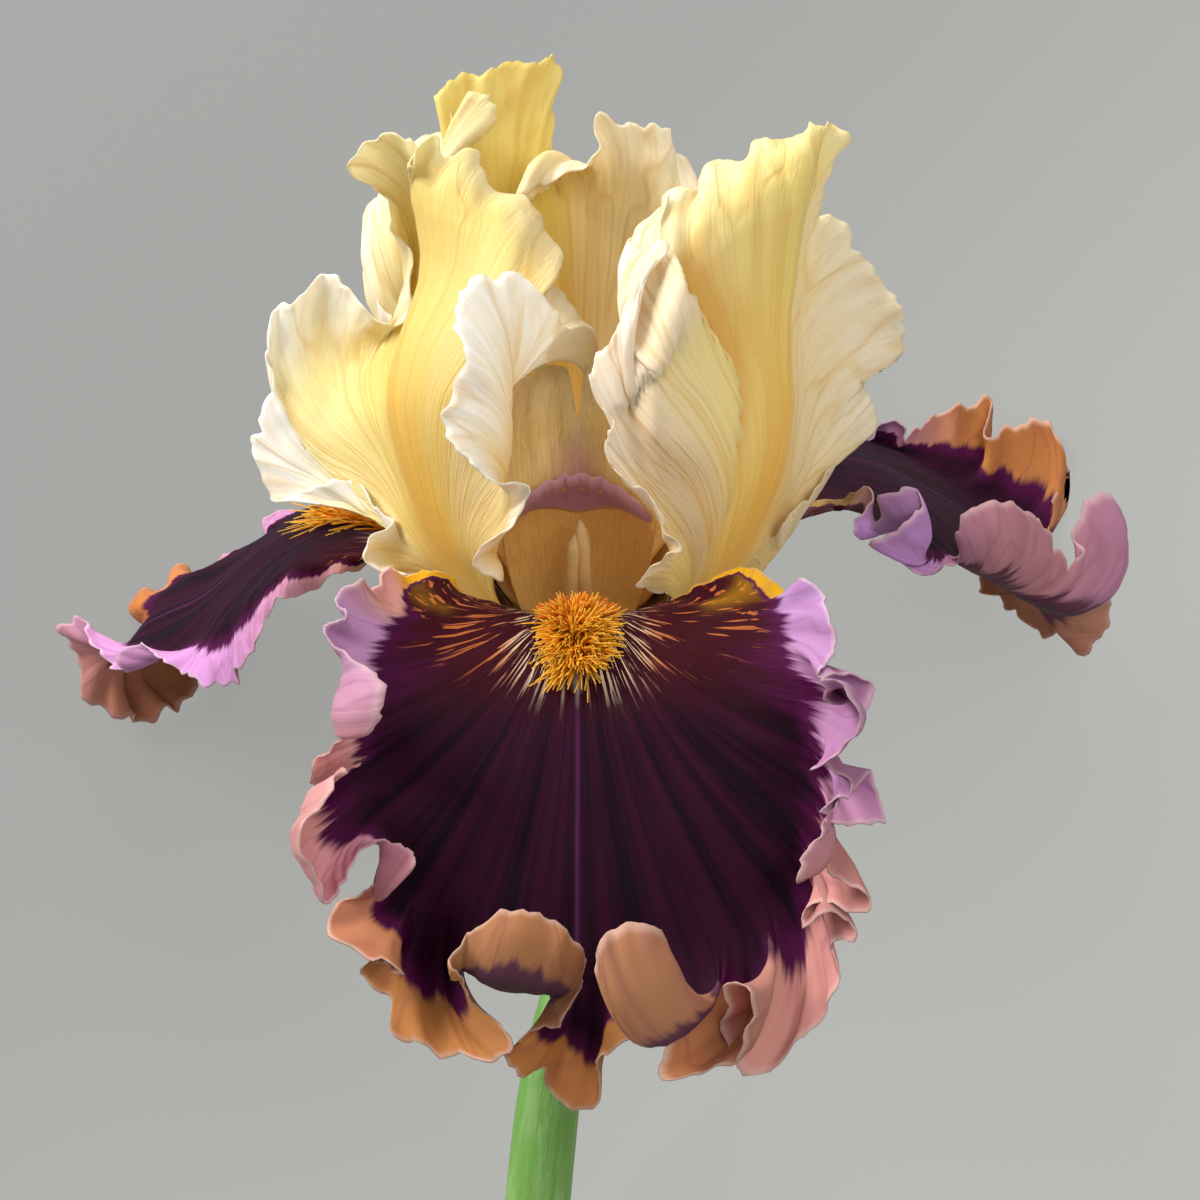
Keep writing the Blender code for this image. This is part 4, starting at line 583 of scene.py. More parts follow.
def petal_piece(name, petal, around, seed, crimp, material, tints, pale_tints, rim_from, marks, fold=None):
    """A petal: the sheet on a fine grid, crimped, with its thickness; it carries where each point lies on it."""
    inside, band = np.linspace(0, 1, 33), np.linspace(0, 1, 23)[1:]
    angle = spread(petal, around)
    rows = crimped(petal, sheet(petal, angle, inside, band), angle, band, seed, crimp)
    reach = np.concatenate([BLADE_SHARE * inside, BLADE_SHARE + (1 - BLADE_SHARE) * band])
    shape = rows.shape[:2]
    turn = np.broadcast_to(angle[:, None], shape)
    reach = np.broadcast_to(reach[None], shape)
    if fold:
        lift, cream, valley_shade = fold(turn, reach)
        rows = rows + lift[..., None] * np.array((0.35, -1.0, 0))
    thick = 0.5 - 0.28 * smooth(0.6, 1, reach)
    points, faces = skin(rows, thick)
    side = np.concatenate([np.ones(rows.size // 3), np.zeros(rows.size // 3)])
    begin = through(angle, rim_from)[:, None]
    tone = straight(angle, tints)[:, None] + np.zeros((*shape, 3))
    if fold:
        tone = tone + (colour("f0dfc4") - tone) * (0.8 * cream[..., None])
        # painted shade: deep gold in the hollow beside the folded flap, where its shadow falls
        tone = tone + (colour("e0a63a") - tone) * (0.85 * valley_shade[..., None])
    found = {"vein": np.column_stack([both(turn) / 10, both(reach), side]),
             "rim": both((reach - begin) / (1 - begin)),
             "tint": both(tone),
             "pale_tint": both(np.broadcast_to(straight(angle, pale_tints)[:, None], (*shape, 3)))}
    flat = blade_flat(petal, *np.meshgrid(angle, inside, indexing="ij"))
    for mark, share in marks(flat).items():
        whole = np.concatenate([share, np.repeat(share[:, -1:], len(band), 1)], 1)
        found[mark] = both(whole)
    return piece(name + "_petal", points, faces, material, found, [name])


def colour(code):
    """A linear colour from its usual six-figure code."""
    value = np.array([int(code[i:i + 2], 16) / 255 for i in (0, 2, 4)])
    return np.where(value > 0.04045, ((value + 0.055) / 1.055) ** 2.4, value / 12.92)


def tints(*entries):
    """Marks of colour round a petal: (angle, code) pairs."""
    return [(angle, *colour(code)) for angle, code in entries]


class Net:
    """A small helper that adds and joins the nodes of one material or group."""

    def __init__(self, tree):
        self.tree = tree

    def put(self, socket, value):
        if isinstance(value, bpy.types.NodeSocket):
            self.tree.links.new(value, socket)
        elif isinstance(value, str):
            socket.default_value = (*colour(value), 1)
        else:
            socket.default_value = value

    def add(self, kind, values, **settings):
        """A node with these settings, and values put into its sockets by number or name; its first output."""
        node = self.tree.nodes.new("ShaderNode" + kind)
        for key, value in settings.items():
            setattr(node, key, value)
        for key, value in values.items():
            self.put(node.inputs[key], value)
        return node.outputs[0]

    def mark(self, name, kind="Fac"):
        node = self.tree.nodes.new("ShaderNodeAttribute")
        node.attribute_name = name
        return node.outputs[kind]

    def times(self, a, b):
        return self.add("Math", {0: a, 1: b}, operation="MULTIPLY")

    def plus(self, a, b):
        return self.add("Math", {0: a, 1: b}, operation="ADD")

    def step(self, value, low, high, to_low=0.0, to_high=1.0):
        """The smooth step of a value between two levels."""
        return self.add("MapRange", {0: value, 1: low, 2: high, 3: to_low, 4: to_high},
                        interpolation_type="SMOOTHSTEP")

    def mix(self, share, a, b, blend="MIX"):
        node = self.tree.nodes.new("ShaderNodeMix")
        node.data_type, node.blend_type = "RGBA", blend
        for key, value in ((0, share), (6, a), (7, b)):
            self.put(node.inputs[key], value)
        return node.outputs[2]

    def noise(self, place, stretch, detail=2.0, rough=0.5, wander=0.0):
        """Noise on a place that is first stretched by these three factors."""
        spot = self.add("VectorMath", {0: place, 1: stretch}, operation="MULTIPLY")
        return self.add("TexNoise", {"Vector": spot, "Scale": 1.0, "Detail": detail, "Roughness": rough,
                                     "Distortion": wander})


def vein_group():
    """Veins fanning out of the claw: lines of constant angle that wander, in a coarse and a fine set, and the soft
    patches between them. Line is where stretched noise crosses its middle value."""
    tree = bpy.data.node_groups.new("veins", "ShaderNodeTree")
    for name, kind in (("Vein", "NodeSocketVector"), ("Count", "NodeSocketFloat"), ("Wide", "NodeSocketFloat")):
        tree.interface.new_socket(name, in_out="INPUT", socket_type=kind)
    for name in ("Line", "Fine", "Patch"):
        tree.interface.new_socket(name, in_out="OUTPUT", socket_type="NodeSocketFloat")
    net = Net(tree)
    given, out = tree.nodes.new("NodeGroupInput"), tree.nodes.new("NodeGroupOutput")
    spot = net.add("VectorMath", {0: given.outputs["Vein"], 3: given.outputs["Count"]}, operation="SCALE")
    for name, stretch, detail, share in (("Line", (1.0, 1.5, 1.0), 1.0, 1.0), ("Fine", (4.0, 2.6, 1.0), 2.0, 2.2)):
        wave = net.noise(spot, stretch, detail, 0.5, 0.5)
        away = net.add("Math", {0: net.plus(wave, -0.5)}, operation="ABSOLUTE")
        line = net.step(away, 0.0, net.times(given.outputs["Wide"], share), 1.0, 0.0)
        tree.links.new(line, out.inputs[name])
    tree.links.new(net.noise(spot, (0.8, 0.5, 1.0), 2.5, 0.55, 0.2), out.inputs["Patch"])
    return tree


def tissue_group():
    """The skin of a petal close up: tiny cells that glitter."""
    tree = bpy.data.node_groups.new("cells", "ShaderNodeTree")
    tree.interface.new_socket("Size", in_out="INPUT", socket_type="NodeSocketFloat")
    for name in ("Height", "Spot"):
        tree.interface.new_socket(name, in_out="OUTPUT", socket_type="NodeSocketFloat")
    net = Net(tree)
    given, out = tree.nodes.new("NodeGroupInput"), tree.nodes.new("NodeGroupOutput")
    place = tree.nodes.new("ShaderNodeTexCoord").outputs["Object"]
    size = net.add("Math", {0: 1.0, 1: given.outputs["Size"]}, operation="DIVIDE")
    spot = net.add("VectorMath", {0: place, 3: size}, operation="SCALE")
    tree.links.new(net.add("TexVoronoi", {"Vector": spot, "Scale": 1.0}), out.inputs["Height"])
    tree.links.new(net.noise(spot, (0.2, 0.2, 0.2), 3.0), out.inputs["Spot"])
    return tree


VEINS, CELLS = vein_group(), tissue_group()


def material(name, rough, sheen=0.0, sheen_tint=(1, 1, 1, 1), gloss=0.35):
    made = bpy.data.materials.new(name)
    made.use_nodes = True
    body = made.node_tree.nodes["Principled BSDF"]
    body.inputs["Roughness"].default_value = rough
    body.inputs["Specular IOR Level"].default_value = gloss
    body.inputs["Sheen Weight"].default_value = sheen
    body.inputs["Sheen Roughness"].default_value = 0.35
    body.inputs["Sheen Tint"].default_value = sheen_tint
    return made, Net(made.node_tree), body


def group(net, tree, **values):
    node = net.tree.nodes.new("ShaderNodeGroup")
    node.node_tree = tree
    for key, value in values.items():
        net.put(node.inputs[key], value)
    return node.outputs


def finish(net, body, paint, height, depth, shine_through=0.0):
    """Colour and raised veins into the body's shader, mixed with a translucent one for light shining through."""
    cells = group(net, CELLS, Size=0.00035)
    height = net.plus(height, net.times(cells["Height"], 0.25))
    bump = net.tree.nodes.new("ShaderNodeBump")
    net.put(bump.inputs["Height"], height)
    bump.inputs["Distance"].default_value = depth
    bump.inputs["Strength"].default_value = 0.6
    net.put(body.inputs["Normal"], bump.outputs[0])
    net.put(body.inputs["Base Color"], paint)
    if shine_through:
        thin = net.tree.nodes.new("ShaderNodeBsdfTranslucent")
        net.put(thin.inputs["Color"], paint)
        blend = net.tree.nodes.new("ShaderNodeMixShader")
        blend.inputs[0].default_value = shine_through
        net.put(blend.inputs[1], body.outputs[0])
        net.put(blend.inputs[2], thin.outputs[0])
        net.put(net.tree.nodes["Material Output"].inputs["Surface"], blend.outputs[0])


def fall_velvet():
    """Falls: velvet nearly black at the middle, feathered along the veins into the coloured rim; cream and tan
    streaks between the veins beside the beard."""
    made, net, body = material("fall_velvet", 0.62, 0.02, (0.7, 0.7, 1.0, 1), 0.08)
    place = net.mark("vein", "Vector")
    vein = group(net, VEINS, Vein=place, Count=2.2, Wide=0.05)
    side = net.add("SeparateXYZ", {0: place})
    back = side.node.outputs[2]
    rim = net.mark("rim")
    feather = net.noise(place, (4.5, 1.0, 1.0), 4.0, 0.6, 0.3)
    patch = net.noise(place, (0.9, 0.5, 1.0), 2.0)
    edge = net.plus(rim, net.plus(net.times(net.plus(feather, -0.5), 0.9), net.times(net.plus(patch, -0.5), 0.5)))
    deep = net.mix(net.step(vein["Patch"], 0.35, 0.65), "10010e", "30061f")
    deep = net.mix(net.times(vein["Fine"], 0.18), deep, "35062a")
    deep = net.mix(net.mark("midline"), deep, "52204a")
    burgundy = net.mix(net.times(net.mark("burgundy"), 0.9), deep, "3a0711")
    streak_noise = net.noise(place, (4.2, 8.5, 1.0), 2.0, 0.55, 0.3)
    streak_noise = net.plus(streak_noise, net.times(net.mark("pale"), 0.035))
    streak = net.times(net.step(streak_noise, 0.585, 0.625), net.mark("streak"))
    streaked = net.mix(streak, burgundy, net.mix(net.mark("pale"), "b06030", "e8d5b4"))
    streaked = net.mix(net.mark("yellow"), streaked, "e8a80c")
    streaked = net.mix(net.mark("wedge"), streaked, "c9bcb4")
    streaked = net.mix(net.mark("claw"), streaked, "d8ac50")
    halfway = net.mix(net.step(edge, -0.45, 0.0), streaked, "4c0c3c")
    tint = net.mark("tint", "Color")
    shaded = net.mix(0.55, tint, "8a3f52")
    tint = net.mix(net.times(vein["Line"], 0.4), tint, shaded)
    tint = net.mix(net.step(vein["Patch"], 0.45, 0.7, 0.0, 0.35), tint, shaded)
    paint = net.mix(net.step(edge, -0.02, 0.2), halfway, tint)
    paint = net.mix(net.step(rim, 0.88, 1.0, 0.0, 0.4), paint, "f3dcd0")
    # the outer face is duller and paler than the velvet one
    paint = net.mix(net.times(back, 0.35), paint, "7d5a5c")
    height = net.plus(net.times(vein["Line"], 0.5), net.times(vein["Fine"], 0.2))
    finish(net, body, paint, height, 0.00012, 0.2)
    return made


def standard_silk():
    """Standards: thin silk, golden at the base and midrib, lemon on the blade, cream to white at the margin, with
    sparse golden veins."""
    made, net, body = material("standard_silk", 0.5, 0.1)
    place = net.mark("vein", "Vector")
    vein = group(net, VEINS, Vein=place, Count=1.3, Wide=0.045)
    rim, gold = net.mark("rim"), net.mark("gold")
    spread_out = net.plus(rim, net.times(net.plus(vein["Patch"], -0.5), 1.6))
    paint = net.mix(net.step(spread_out, -2.2, -0.3), "f0cc62", net.mark("tint", "Color"))
    paint = net.mix(net.step(spread_out, -0.2, 0.9), paint, net.mark("pale_tint", "Color"))
    paint = net.mix(net.times(vein["Line"], 0.32), paint, "e2b448")
    paint = net.mix(net.times(vein["Fine"], 0.16), paint, "dcb458")
    paint = net.mix(gold, paint, "eeb232")
    height = net.plus(net.times(vein["Line"], 0.7), net.times(vein["Fine"], 0.3))
    finish(net, body, paint, height, 0.00018, 0.3)
    return made


def style_satin():
    """Style arms: amber below, mauve along the midline and at the lip, golden crests."""
    made, net, body = material("style_satin", 0.45, 0.1)
    place = net.mark("vein", "Vector")
    vein = group(net, VEINS, Vein=place, Count=2.0, Wide=0.03)
    paint = net.mix(net.times(vein["Line"], 0.25), net.mark("tint", "Color"), "d0a060")
    paint = net.mix(net.times(vein["Fine"], 0.06), paint, "a0645c")
    finish(net, body, paint, vein["Fine"], 0.0001, 0.35)
    return made


def plain_tissue(name, rough, depth, shine_through=0.0):
    """Tissue whose colour is marked point by point, with soft mottling."""
    made, net, body = material(name, rough)
    spot = group(net, CELLS, Size=0.0008)["Spot"]
    paint = net.mix(net.step(spot, 0.35, 0.75, 0.0, 0.3), net.mark("tint", "Color"), "7a6a30")
    finish(net, body, paint, spot, depth, shine_through)
    return made


def stalk_skin():
    """Stem and ovary: fresh green with long fibres and a faint bloom, and a pale cut end with its bundles."""
    made, net, body = material("stalk_skin", 0.42, 0.08)
    place = net.mark("vein", "Vector")
    fibre = net.noise(place, (9.0, 0.25, 1.0), 3.0, 0.6)
    bloom = net.noise(place, (1.2, 0.08, 1.0), 3.0, 0.6)
    paint = net.mix(net.step(fibre, 0.35, 0.7), net.mark("tint", "Color"), "5f9240")
    paint = net.mix(net.step(bloom, 0.45, 0.75, 0.0, 0.4), paint, "a3bd80")
    dots = net.add("TexVoronoi", {"Vector": net.add("TexCoord", {}).node.outputs["Object"], "Scale": 900.0})
    cut = net.mix(net.step(dots, 0.15, 0.35), "8aa860", "dfe6bd")
    paint = net.mix(net.mark("cut"), paint, cut)
    finish(net, body, paint, fibre, 0.0002)
    return made


def fall_marks(petal, streaks_to):
    def marks(flat):
        """Shares at blade points: streaks beside the beard, burgundy haft, cream near the midline, yellow edge."""
        across, along = np.abs(flat[..., 0]), flat[..., 1]
        streak = smooth(streaks_to, streaks_to - 7, along + 0.25 * across) * smooth(0.8, 2.5, across)
        return {"streak": streak, "burgundy": smooth(streaks_to + 4, streaks_to - 10, along),
                "pale": smooth(12, 5, across),
                "midline": 0.8 * np.exp(-(across / 0.3) ** 2) * smooth(petal.fan, petal.fan + 6, along),
                "claw": smooth(17, 9, along), "wedge": smooth(1.7, 0.5, across + 0.22 * (along - 33).clip(0)) * smooth(29, 32, along),
                "yellow": smooth(16.5, 19.5, across) * smooth(streaks_to - 13, streaks_to - 20, along)}
    return marks


def flap_fold(angle, reach):
    """The inward half of the right standard folds over: how far a point is lifted towards the viewer (mm), the share
    of pale cream on it and that of deep gold beside it, painted shade for the hollow where the fold casts its shadow.
    One free edge crosses the veins at an angle that depends on reach, the other crosses them at a reach that depends on
    the angle."""
    edge = through(reach, ((0.3, -62), (0.39, -47), (0.43, -36), (0.47, -34), (0.52, -24), (0.55, -21.5), (0.6, -25),
                           (0.64, -27.4), (0.74, -27)))
    low = through(angle, ((-90, 0.96), (-75, 0.88), (-64, 0.80), (-52, 0.72), (-38, 0.63), (-30, 0.60), (-20, 0.60)))
    inward = smooth(-92, -45, angle)
    span = smooth(0.37, 0.47, reach) * smooth(0.80, 0.68, reach)
    over = smooth(edge, edge - 1.6, angle) * span
    # painted shade: the hollow just past the flap's free edge, which the fold shades, gets deep gold
    valley_shade = smooth(edge + 14, edge, angle) * smooth(edge - 2, edge, angle) * span
    upper = smooth(low, low + 0.018, reach) * smooth(low + 0.34, low + 0.12, reach) * smooth(-24, -30, angle)
    return 4.4 * over * inward + 2.0 * upper * smooth(1.0, 0.9, reach) * inward, upper, valley_shade


def standard_marks(flat):
    """Gold along the midrib and the claw."""
    across, along = np.abs(flat[..., 0]), flat[..., 1]
    rib = np.exp(-(across / 5.0) ** 2) * smooth(72, 30, along)
    return {"gold": np.maximum(0.6 * rib, 0.7 * smooth(30, 8, along))}


def bristle_mesh(root, way, curl, length, thick, tip, sides=4, steps=5):
    """Many bristles at once: each is a thin tube whose centre line goes root + way u + curl u^2, tapered to a
    blunt tip. Every array has one row for each bristle."""
    u = np.linspace(0, 1, steps)
    centre = root[:, None] + length[:, None, None] * (way[:, None] * u[None, :, None] + curl[:, None] * u[None, :, None] ** 2)
    tangent = unit(way[:, None] + 2 * curl[:, None] * u[None, :, None])
    side = unit(np.cross(tangent, [0.31, 0.45, 0.82]))
    other = np.cross(tangent, side)
    turn = np.linspace(0, 2 * np.pi, sides, endpoint=False)
    radius = thick[:, None] * (1 - (1 - tip) * u[None] ** 2)
    ring = (np.cos(turn)[:, None] * side[:, :, None] + np.sin(turn)[:, None] * other[:, :, None])
    points = centre[:, :, None] + radius[:, :, None, None] * ring
    count = len(root)
    index = np.arange(count * steps * sides).reshape(count, steps, sides)
    after = np.roll(index, -1, axis=2)
    walls = np.stack([index[:, :-1], after[:, :-1], after[:, 1:], index[:, 1:]], -1).reshape(-1, 4)
    ends = np.concatenate([index[:, 0, ::-1], index[:, -1]]).reshape(-1, sides)
    return points.reshape(-1, 3), np.concatenate([walls, ends]), np.broadcast_to(u[None, :, None], index.shape).ravel()


def beard(name, petal, first, last, width, height, count, seed):
    """Bristles that stand on the haft's inner face from first to last along the midline: random roots, longest
    along the middle, leaning outwards and curling over towards the blade."""
    source = np.random.default_rng(seed)
    share = source.uniform(0, 1, count) ** 0.9
    across = np.clip(source.normal(0, 0.5, count), -1, 1)
    along = first + (last - first) * share
    half = width * np.sqrt(1 - 0.85 * share**2.2) * (0.8 + 0.2 * np.minimum(share * 5, 1))
    flat = np.stack([half * across, along], -1)
    root = laid(petal, flat)
    _, tangent, _, normal = midrib_frame(petal, along)
    side = np.cross(tangent, normal)
    root = root + 0.15 * normal
    sway = source.normal(0, 0.35, (count, 3))
    low = smooth(0.3, 0.7, share)[:, None]
    way = unit((1 - 0.35 * low) * normal - (0.8 + 0.7 * low) * across[:, None] * side + (0.1 + 0.4 * low) * tangent
               + (0.22 + 0.5 * low) * sway)
    curl = 0.5 * low * tangent - 0.3 * across[:, None] * side + (0.12 + 0.7 * low) * sway[:, ::-1] - 0.1 * normal
    length = height * (1 - 0.4 * across**2) * (1 + 0.15 * low[:, 0]) * source.uniform(0.7, 1.1, count)
    points, faces, up = bristle_mesh(root, way, curl, length, source.uniform(0.13, 0.19, count), 0.55)
    each = len(up) // count
    inner = np.repeat(share + source.normal(0, 0.12, count), each)
    amber, gold, tip = colour("ff6c00"), colour("ffb012"), colour("ffde50")
    tone = amber + (gold - amber) * smooth(0.25, 0.62, inner)[:, None]
    tone = tone + (tip - tone) * (0.6 * smooth(0.45, 1, up) * smooth(0.0, 0.6, inner))[:, None]
    root_tone = colour("d89a40")
    tone = root_tone + (tone - root_tone) * smooth(0, 0.35, up)[:, None]
    return piece(name + "_bristles", points, faces, bristle, {"tint": tone}, [name])


def arm_surface(wide, s, reach):
    """(out, sideways, up) of a style arm's sheet at s (-1..1 across) and reach (mm along the arm, then up the
    crests): a roof that droops to both sides, then two crests that wave."""
    arm, crest = np.array(ARM_LINE), np.array(CREST_LINE)
    line = np.concatenate([arm, crest[1:]])
    run = np.concatenate([[0], np.cumsum(np.linalg.norm(np.diff(line, axis=0), axis=1))])
    out, up = np.moveaxis(through(reach, np.column_stack([run, line])), -1, 0)
    k = wide / FULL_WIDTH
    half = k * through(reach, ((0, 1.2), (6, 3.0), (12, 7.0), (18, 8.8), (26, 10.0), (LIP_AT, 10.6),
                               (LIP_AT + 8, 11.0), (run[-1], 8.5)))
    droop = through(reach, ((0, 0), (8, 0.8), (15, 2.4), (LIP_AT, 5.6), (LIP_AT + 10, 1.2), (run[-1], -1.0)))
    up = up - droop * k**2 * s**2
    on_crest = np.clip((reach - LIP_AT - 2) / 10, 0, 1)
    out = out - 1.2 * s**2 * np.clip(reach / LIP_AT, 0, 1) + 1.1 * np.sin(9 * s) * on_crest
    side = s * half
    out = out + 0.35 * noise(np.stack([side, reach * 0.25], -1), 62, 3.0) * on_crest
    return np.stack([out, side, up], -1)


def style_arm(name, azimuth, wide):
    """The arm is a roof-shaped strip from the axis out over the fall, then two fringed crests standing up from its
    end; a scalloped lip leaves its underside, widest at the midline."""
    s = np.linspace(-1, 1, 121)[:, None]
    end = 53.2 - 8.0 * np.exp(-(s / 0.09) ** 2) - 5.5 * np.abs(s) ** 5 + 0.8 * np.sin(11 * s)
    end = end + 0.35 * noise(s * wide, 61, 1.6)[:, None]
    t = np.linspace(0, 1, 51)[None]
    reach = t * end
    s = s + 0 * reach
    rows = in_plane(azimuth, arm_surface(wide, s, reach))
    points, faces = skin(rows, 0.45 - 0.2 * smooth(0.8, 1, t))
    amber, gold, mauve, cream = colour("f2c872"), colour("ffe9a0"), colour("d8a0a4"), colour("fff6d4")
    tone = amber + (gold - amber) * smooth(LIP_AT - 2, LIP_AT + 4, reach)[..., None]
    tone = tone + (cream - tone) * (0.7 * smooth(0.8, 1, t + 0 * s))[..., None]
    near_rib = np.exp(-(s / 0.3) ** 2) * smooth(LIP_AT - 1, LIP_AT + 1, reach) * smooth(LIP_AT + 9, LIP_AT + 2, reach)
    tone = tone + (mauve - tone) * (0.7 * near_rib)[..., None]
    vein = np.stack([s * 6, reach / 25, 0 * s], -1)
    piece(name + "_arm", points, faces, satin, {"tint": both(tone), "vein": both(vein)}, [name])
    s = np.linspace(-0.95, 0.95, 121)[:, None]
    t = np.linspace(0, 1, 13)[None]
    taper = 1 - np.abs(s / 0.95) ** 1.5
    scallop = 0.28 * np.sin(26 * s) + 0.3 * noise(s * wide, 63, 1.5)[:, None]
    reach = LIP_AT + 0.4 - (1 - t) * (0.8 + 8.0 * taper)
    sheet_points = arm_surface(wide, s + 0 * t, reach)
    wave = 0.25 * noise(np.stack([s * wide + 0 * t, 3 * t + 0 * s], -1), 64, 3.5)
    leave = (0.4 + (1.3 + 1.0 * taper + wave) * t) * smooth(0.0, 0.15, taper)
    sheet_points = sheet_points + np.stack([leave, 0 * leave, t * (0.7 + scallop) * taper - 0.15], -1)
    rows = in_plane(azimuth, sheet_points)
    points, faces = skin(rows, 0.4 - 0.2 * t)
    rose, pale = colour("d396ac"), colour("e2b0be")
    tone = rose + (pale - rose) * smooth(0.3, 1, t)[..., None] * np.ones_like(s)[..., None]
    tone = amber + (tone - amber) * smooth(0.0, 0.1, t)[..., None]
    vein = np.stack([s * 6 + 0 * t, t + 0 * s, 0 * s * t], -1)
    piece(name + "_lip", points, faces, satin, {"tint": both(tone), "vein": both(vein)}, [])


def in_plane(azimuth, points):
    """From (out, sideways, up) of one arm's own plane to the flower's frame."""
    turn = np.radians(azimuth)
    c, s = np.cos(turn), np.sin(turn)
    return np.asarray(points, float) @ np.array([[c, s, 0], [-s, c, 0], [0, 0, 1]])


ARM_LINE = ((1.9, 0.7), (2.8, 8), (5.2, 16), (9.5, 23.5), (14.5, 28.6), (19.0, 30.2))
CREST_LINE = ((19.0, 30.2), (18.6, 35), (16.4, 41), (14.5, 46))
FULL_WIDTH = 10.6
LIP_AT = 36.3
STALK = ((0, 0, 0), (-0.2, 0, -10), (-0.8, 0, -24), (-1.7, 0, -38), (-3.0, 0, -47), (-4.3, 0, -56),
         (-5.2, 0, -64), (-5.9, 0, -71), (-6.9, 0, -82), (-7.9, 0, -94))
STEM_RADIUS = 4.5


def tube(path, radius, section):
    """Rings of the section's shape along a path, scaled by the radius, closed at both ends by shrinking rings."""
    path, radius = np.array(path, float), np.array(radius, float)
    tangent = unit(np.gradient(path, axis=0))
    side = unit(np.cross(tangent, [0.31, 0.95, 0.02]))
    other = np.cross(tangent, side)
    turn = np.linspace(0, 2 * np.pi, len(section), endpoint=False)
    ring = np.stack([np.cos(turn) * section, np.sin(turn) * section], -1)
    rim = np.array([0.02, 0.5, 0.94])
    path = np.concatenate([np.repeat(path[:1], 3, 0), path, np.repeat(path[-1:], 3, 0)])
    radius = np.concatenate([radius[0] * rim, radius, radius[-1] * rim[::-1]])
    side = np.concatenate([np.repeat(side[:1], 3, 0), side, np.repeat(side[-1:], 3, 0)])
    other = np.concatenate([np.repeat(other[:1], 3, 0), other, np.repeat(other[-1:], 3, 0)])
    across = ring[None, :, :1] * side[:, None] + ring[None, :, 1:] * other[:, None]
    rows = path[:, None] + radius[:, None, None] * across
    n, m = rows.shape[:2]
    index = np.arange(n * m).reshape(n, m)
    after = np.roll(index, -1, axis=1)
    sides = np.stack([index[:-1], after[:-1], after[1:], index[1:]], -1).reshape(-1, 4)
    length = np.concatenate([[0], np.cumsum(np.linalg.norm(np.diff(path, axis=0), axis=1))])
    vein = np.stack([np.broadcast_to(turn * 1.5, (n, m)), np.broadcast_to(length[:, None], (n, m)), np.zeros((n, m))], -1)
    middle = len(path)
    share = np.broadcast_to((length / length[-1])[:, None], (n, m)).ravel()
    ends = np.zeros(middle)
    ends[:3], ends[-3:] = 1, 1
    return rows.reshape(-1, 3), sides, share, vein.reshape(-1, 3), np.broadcast_to(ends[:, None], (n, m)).ravel()


def stalk_pieces():
    """A narrow tube under the petals, the three-sided ovary and the stem with its cut end."""
    def line(drop):
        return through(-drop, [(z, x, y, z) for x, y, z in STALK[::-1]])
    drop = np.concatenate([np.linspace(0, 12, 40), np.linspace(12.5, 75.2, 120)])
    radius = through(drop, ((0, 6.9), (1.2, 6.8), (3.5, 5.9), (7, 4.6), (12, 3.7), (20, 3.1), (28, 2.8),
                            (35, 2.7), (39, 2.9), (43, 3.4), (47, 3.9), (51, 4.2), (56, 4.4), (62, 4.5),
                            (68, 4.55), (72, 4.55), (75, STEM_RADIUS)))
    turn = np.linspace(0, 2 * np.pi, 96, endpoint=False)
    points, faces, share, vein, _ = tube(line(drop), radius, 1 + 0.03 * np.cos(3 * turn) - 0.006 * np.cos(18 * turn))
    tone = through(share, tints((0, "c9b24a"), (0.12, "a8b04a"), (0.35, "7a9c40"), (1, "6a9440")))
    piece("ovary_tube_skin", points, faces, skin_green, {"tint": tone, "vein": vein, "cut": 0 * share},
          ["ovary_tube"])
    drop = np.linspace(75.2, 95, 60)
    points, faces, share, vein, ends = tube(line(drop), np.full(60, STEM_RADIUS), 1 - 0.006 * np.cos(18 * turn))
    tone = through(share, tints((0, "6a9440"), (1, "709a42")))
    piece("stem_skin", points, faces, skin_green, {"tint": tone, "vein": vein, "cut": ends * (share > 0.5)},
          ["stem"])


def stamen(name, azimuth):
    """A thin filament that bears a long anther of two slim lobes, one a little higher than the other."""
    line = ((0, 3.3, 0.9), (0.25, 4.6, 6.5), (0.5, 8.2, 12.6), (0.62, 10.6, 15.4), (0.8, 13.6, 20.0), (1, 15.6, 25.0))
    points, faces, tone, first = [], [], [], 0
    for begin, last, beside, radius in (
            (0, 0.7, 0, ((0, 0.55), (0.5, 0.5), (1, 0.4))),
            (0.5, 0.93, -0.82, ((0, 0.25), (0.12, 0.8), (0.5, 0.95), (0.9, 0.75), (1, 0.25))),
            (0.52, 1.0, 0.82, ((0, 0.25), (0.12, 0.8), (0.5, 0.95), (0.9, 0.75), (1, 0.25)))):
        share = np.linspace(0, 1, 60)
        spot = through(begin + (last - begin) * share, line)
        path = np.stack([spot[:, 0], beside * (1 - 0.75 * share**4), spot[:, 1]], -1)
        got, walls, along, _, _ = tube(in_plane(azimuth, path), through(share, radius), np.ones(20))
        points.append(got)
        faces.append(walls + first)
        tone.append(through(along, tints((0, "c08c4c"), (0.5, "d8ac68"), (1, "e2bc80"))))
        first += len(got)
    piece(name + "_lobes", np.concatenate(points), np.concatenate(faces), anther,
          {"tint": np.concatenate(tone)}, [name])


velvet, silk, satin = fall_velvet(), standard_silk(), style_satin()
bristle, anther = plain_tissue("beard_bristle", 0.4, 0.00005, 0.4), plain_tissue("anther_cream", 0.6, 0.0002)
skin_green = stalk_skin()

